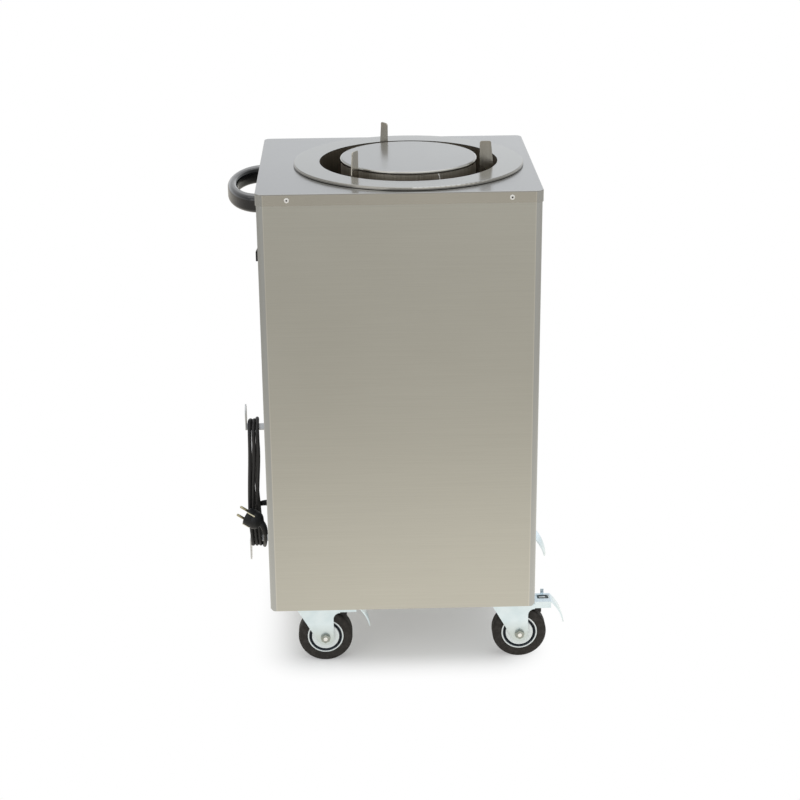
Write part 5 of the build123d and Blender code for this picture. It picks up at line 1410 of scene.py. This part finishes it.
@dataclass
class CasterSet:
    """The four casters and the plates and bolts that hold them."""

    # Each caster's side, its end and the turn of its fork at rest, in degrees.
    rest_turns: dict[str, tuple[int, int, float]] = field(default_factory=lambda: {
        "front_left": (-1, -1, 0.0), "front_right": (1, -1, 0.0),
        "rear_right": (1, 1, -15.0), "rear_left": (-1, 1, 25.0)})
    finishes: dict[str, Finish] = field(default_factory=lambda: {
        "caster_plates": Finish.ZINC, "caster_bolts": Finish.FASTENER, "kingpins": Finish.FASTENER})

    def build(self) -> None:
        """Build every caster and dress what holds them."""
        dress(self.finishes)
        for name, (side, way, turn) in self.rest_turns.items():
            Caster(name, side, way, turn).build()


# ---- Studio ----
@dataclass
class Studio:
    """The floor, the lamps, the surroundings and the camera."""

    floor_half: float = 14.0
    paper: tuple[str, str] = ("#f4f4f3", "#e9e9e8")
    paper_mm: float = 3.0
    fleck_share: float = 0.12
    # The floor keeps its shadow within the footprint's reach and is the background's white outside it.
    footprint: tuple[float, float] = (0.17, 0.145)
    shadow_reach: float = 0.115
    shadow_share: float = 0.22
    # How bright the metal mirrors the floor, near the object and far from it, and from left to right.
    floor_mirror: str = "#fffaf0"
    mirror_near: float = 1.06
    mirror_far: float = 0.60
    mirror_reach: tuple[float, float] = (0.40, 1.9)
    mirror_squeeze: Point = (0.88, 1.0, 1.0)
    mirror_sides: tuple[float, float] = (-0.5, 0.8)
    mirror_tilt: tuple[float, float] = (0.97, 1.09)
    # How bright the metal mirrors the room: at the horizon, above it and overhead, and from left to right.
    sky: tuple[float, float, float, float] = (0.97, 0.985, 1.0, 1.0)
    sky_level: float = 0.82
    sky_mirror: tuple[float, float, float] = (1.12, 0.74, 0.9)
    sky_fall: tuple[float, float] = (0.13, 0.32)
    sky_rise: tuple[float, float] = (0.3, 0.8)
    sky_sides: tuple[float, float] = (-0.15, 0.2)
    sky_tilt: tuple[float, float] = (0.93, 1.07)
    overhead_watts: float = 24.0
    overhead_size: float = 3.4
    overhead_place: Point = (0.1, -0.1, 2.7)
    overhead_aim: Point = (0.0, 0.0, 0.0)
    fill_watts: float = 12.0
    fill_size: float = 2.0
    fill_place: Point = (-2.2, -2.6, 1.9)
    fill_aim: Point = (0.0, 0.0, 0.4)
    camera_place: Point = (-0.0803, -3.1585, 1.6406)
    # Degrees to the right, down and anticlockwise; the lens and the sensor are in millimetres.
    yaw: float = 1.518
    pitch: float = 20.63
    roll: float = -0.503
    lens: float = 81.3
    sensor: float = 36.0

    def shown_rays(self, tree: bpy.types.NodeTree) -> tuple[Feed, Feed]:
        """Tell apart the rays that see the background.

        Args:
            tree: The node tree that asks.

        Returns:
            The share of camera rays, and of camera, glossy and transmission rays together.
        """
        path = add_node(tree, "ShaderNodeLightPath")
        clear = add_node(tree, "ShaderNodeMath", {"operation": "MAXIMUM"},
                         {0: path.outputs["Is Glossy Ray"], 1: path.outputs["Is Transmission Ray"]})
        shown = add_node(tree, "ShaderNodeMath", {"operation": "MAXIMUM"},
                         {0: path.outputs["Is Camera Ray"], 1: clear})
        return path.outputs["Is Camera Ray"], shown

    def floor_material(self) -> bpy.types.Material:
        """Build the pale paper floor.

        It keeps the object's shadow, turns to the background's white further out, and falls off gently in
        what the metal mirrors.

        Returns:
            The material.
        """
        material, tree, place = new_tree("Pale_paper_floor")
        fibre = add_node(tree, "ShaderNodeTexNoise", {"Scale": per_size(self.paper_mm), "Detail": 2.0},
                         {"Vector": place})
        share = add_node(tree, "ShaderNodeMapRange", {**NOISE_BAND, "To Max": self.fleck_share},
                         {"Value": fibre})
        colour = add_node(tree, "ShaderNodeMix", {
            "data_type": "RGBA", 6: srgb(self.paper[0]), 7: srgb(self.paper[1])}, {0: share})
        matt = add_node(tree, "ShaderNodeBsdfDiffuse", None, {"Color": colour.outputs[2]})
        narrow = add_node(tree, "ShaderNodeMapping", {"Scale": self.mirror_squeeze}, {"Vector": place})
        far = add_node(tree, "ShaderNodeVectorMath", {"operation": "LENGTH"}, {0: narrow})
        spread = add_node(tree, "ShaderNodeVectorMath", {"operation": "ABSOLUTE"}, {0: place})
        beyond = add_node(tree, "ShaderNodeVectorMath", {"operation": "SUBTRACT", 1: (*self.footprint, 1.0)},
                          {0: spread})
        outside = add_node(tree, "ShaderNodeVectorMath", {"operation": "MAXIMUM", 1: (0.0, 0.0, 0.0)},
                           {0: beyond})
        away = add_node(tree, "ShaderNodeVectorMath", {"operation": "LENGTH"}, {0: outside})
        white = add_node(tree, "ShaderNodeMapRange", {
            "interpolation_type": "SMOOTHSTEP", "From Min": 0.0, "From Max": self.shadow_reach,
            "To Min": self.shadow_share, "To Max": 1.0}, {"Value": away.outputs["Value"]})
        level = add_node(tree, "ShaderNodeMapRange", {
            "interpolation_type": "SMOOTHSTEP", "From Min": self.mirror_reach[0],
            "From Max": self.mirror_reach[1], "To Min": self.mirror_near, "To Max": self.mirror_far},
            {"Value": far.outputs["Value"]})
        parts = add_node(tree, "ShaderNodeSeparateXYZ", None, {0: place})
        tilt = add_node(tree, "ShaderNodeMapRange", {
            "From Min": self.mirror_sides[0], "From Max": self.mirror_sides[1],
            "To Min": self.mirror_tilt[0], "To Max": self.mirror_tilt[1]}, {"Value": parts.outputs["X"]})
        mirrored = add_node(tree, "ShaderNodeMath", {"operation": "MULTIPLY"}, {0: level, 1: tilt})
        seen = add_node(tree, "ShaderNodeEmission", {"Color": (1, 1, 1, 1), "Strength": 1.0})
        glossy = add_node(tree, "ShaderNodeEmission", {"Color": srgb(self.floor_mirror)},
                          {"Strength": mirrored})
        camera, shown = self.shown_rays(tree)
        glow = add_node(tree, "ShaderNodeMixShader", None, {0: camera, 1: glossy, 2: seen})
        part = add_node(tree, "ShaderNodeMath", {"operation": "MULTIPLY"}, {0: white, 1: shown})
        mixed = add_node(tree, "ShaderNodeMixShader", None, {0: part, 1: matt, 2: glow})
        add_node(tree, "ShaderNodeOutputMaterial", None, {"Surface": mixed})
        return material

    def build_floor(self) -> None:
        """Lay the floor."""
        half = self.floor_half
        mesh = mesh_of("floor", [(-half, -half, 0), (half, -half, 0), (half, half, 0), (-half, half, 0)],
                       [(0, 1, 2, 3)], False)
        floor = bpy.data.objects.new("floor", mesh)
        bpy.context.scene.collection.objects.link(floor)
        mesh.materials.append(self.floor_material())

    def build_world(self) -> None:
        """Set even soft surroundings, a pale gradient for the metal to mirror, and white to the camera."""
        world = bpy.data.worlds.new("Soft_studio")
        world.use_nodes = True
        tree = world.node_tree
        tree.nodes.clear()
        place = add_node(tree, "ShaderNodeTexCoord").outputs["Generated"]
        parts = add_node(tree, "ShaderNodeSeparateXYZ", None, {0: place})
        low, middle, high = self.sky_mirror
        falling = add_node(tree, "ShaderNodeMapRange", {
            "interpolation_type": "SMOOTHSTEP", "From Min": self.sky_fall[0], "From Max": self.sky_fall[1],
            "To Min": low, "To Max": middle}, {"Value": parts.outputs["Z"]})
        rising = add_node(tree, "ShaderNodeMapRange", {
            "interpolation_type": "SMOOTHSTEP", "From Min": self.sky_rise[0], "From Max": self.sky_rise[1],
            "To Min": 1.0, "To Max": high / middle}, {"Value": parts.outputs["Z"]})
        tilt = add_node(tree, "ShaderNodeMapRange", {
            "interpolation_type": "SMOOTHSTEP", "From Min": self.sky_sides[0], "From Max": self.sky_sides[1],
            "To Min": self.sky_tilt[0], "To Max": self.sky_tilt[1]}, {"Value": parts.outputs["X"]})
        height = add_node(tree, "ShaderNodeMath", {"operation": "MULTIPLY"}, {0: falling, 1: rising})
        level = add_node(tree, "ShaderNodeMath", {"operation": "MULTIPLY"}, {0: height, 1: tilt})
        soft = add_node(tree, "ShaderNodeBackground", {"Color": self.sky, "Strength": self.sky_level})
        mirrored = add_node(tree, "ShaderNodeBackground", {"Color": self.sky}, {"Strength": level})
        white = add_node(tree, "ShaderNodeBackground", {"Color": (1, 1, 1, 1), "Strength": 1.0})
        camera, shown = self.shown_rays(tree)
        clear = add_node(tree, "ShaderNodeMixShader", None, {0: camera, 1: mirrored, 2: white})
        mixed = add_node(tree, "ShaderNodeMixShader", None, {0: shown, 1: soft, 2: clear})
        add_node(tree, "ShaderNodeOutputWorld", None, {"Surface": mixed})
        bpy.context.scene.world = world

    def add_softbox(self, name: str, place: Point, size: float, watts: float, aim: Point) -> None:
        """Hang one square softbox.

        Args:
            name: Its name.
            place: Where it hangs.
            size: The length of its sides.
            watts: Its power.
            aim: The point that it faces.
        """
        light = bpy.data.lights.new(name, "AREA")
        light.shape, light.size, light.energy = "SQUARE", size, watts
        lamp = bpy.data.objects.new(name, light)
        lamp.location = place
        lamp.rotation_mode = "QUATERNION"
        lamp.rotation_quaternion = (Vector(aim) - Vector(place)).to_track_quat("-Z", "Y")
        bpy.context.scene.collection.objects.link(lamp)

    def build_camera(self) -> None:
        """Set the camera from its place, yaw, pitch and roll."""
        yaw, pitch, roll = map(math.radians, (self.yaw, self.pitch, self.roll))
        ahead = Vector((math.sin(yaw) * math.cos(pitch), math.cos(yaw) * math.cos(pitch), -math.sin(pitch)))
        right = Vector((math.cos(yaw), -math.sin(yaw), 0.0))
        up = right.cross(ahead)
        turned_right = right * math.cos(roll) + up * math.sin(roll)
        turned_up = up * math.cos(roll) - right * math.sin(roll)
        data = bpy.data.cameras.new("camera")
        data.lens, data.sensor_width = self.lens, self.sensor
        camera = bpy.data.objects.new("camera", data)
        basis = Matrix((turned_right, turned_up, -ahead)).transposed().to_4x4()
        camera.matrix_world = Matrix.Translation(self.camera_place) @ basis
        bpy.context.scene.collection.objects.link(camera)
        bpy.context.scene.camera = camera

    def build(self) -> None:
        """Set up the whole studio."""
        self.build_floor()
        self.build_world()
        self.add_softbox("overhead", self.overhead_place, self.overhead_size, self.overhead_watts,
                         self.overhead_aim)
        self.add_softbox("fill", self.fill_place, self.fill_size, self.fill_watts, self.fill_aim)
        self.build_camera()
        bpy.context.scene.view_settings.view_transform = "Standard"


def main() -> None:
    """Build the studio and every part of the dispenser in order."""
    logging.basicConfig(level=logging.INFO, format="%(name)s: %(message)s")
    Studio().build()
    cord = MainsCord()
    whole = cord.build()
    pieces = [*Plug().build(), cord.sleeve()]
    steps: list[tuple[str, Callable[[], None]]] = [
        ("cabinet", Cabinet().build), ("plate well", PlateWell().build), ("platform", Platform().build),
        ("controls and handle", ControlPanel().build), ("casters", CasterSet().build)]
    for label, build in steps:
        build()
        LOG.info("built the %s", label)


if __name__ == "__main__":
    main()
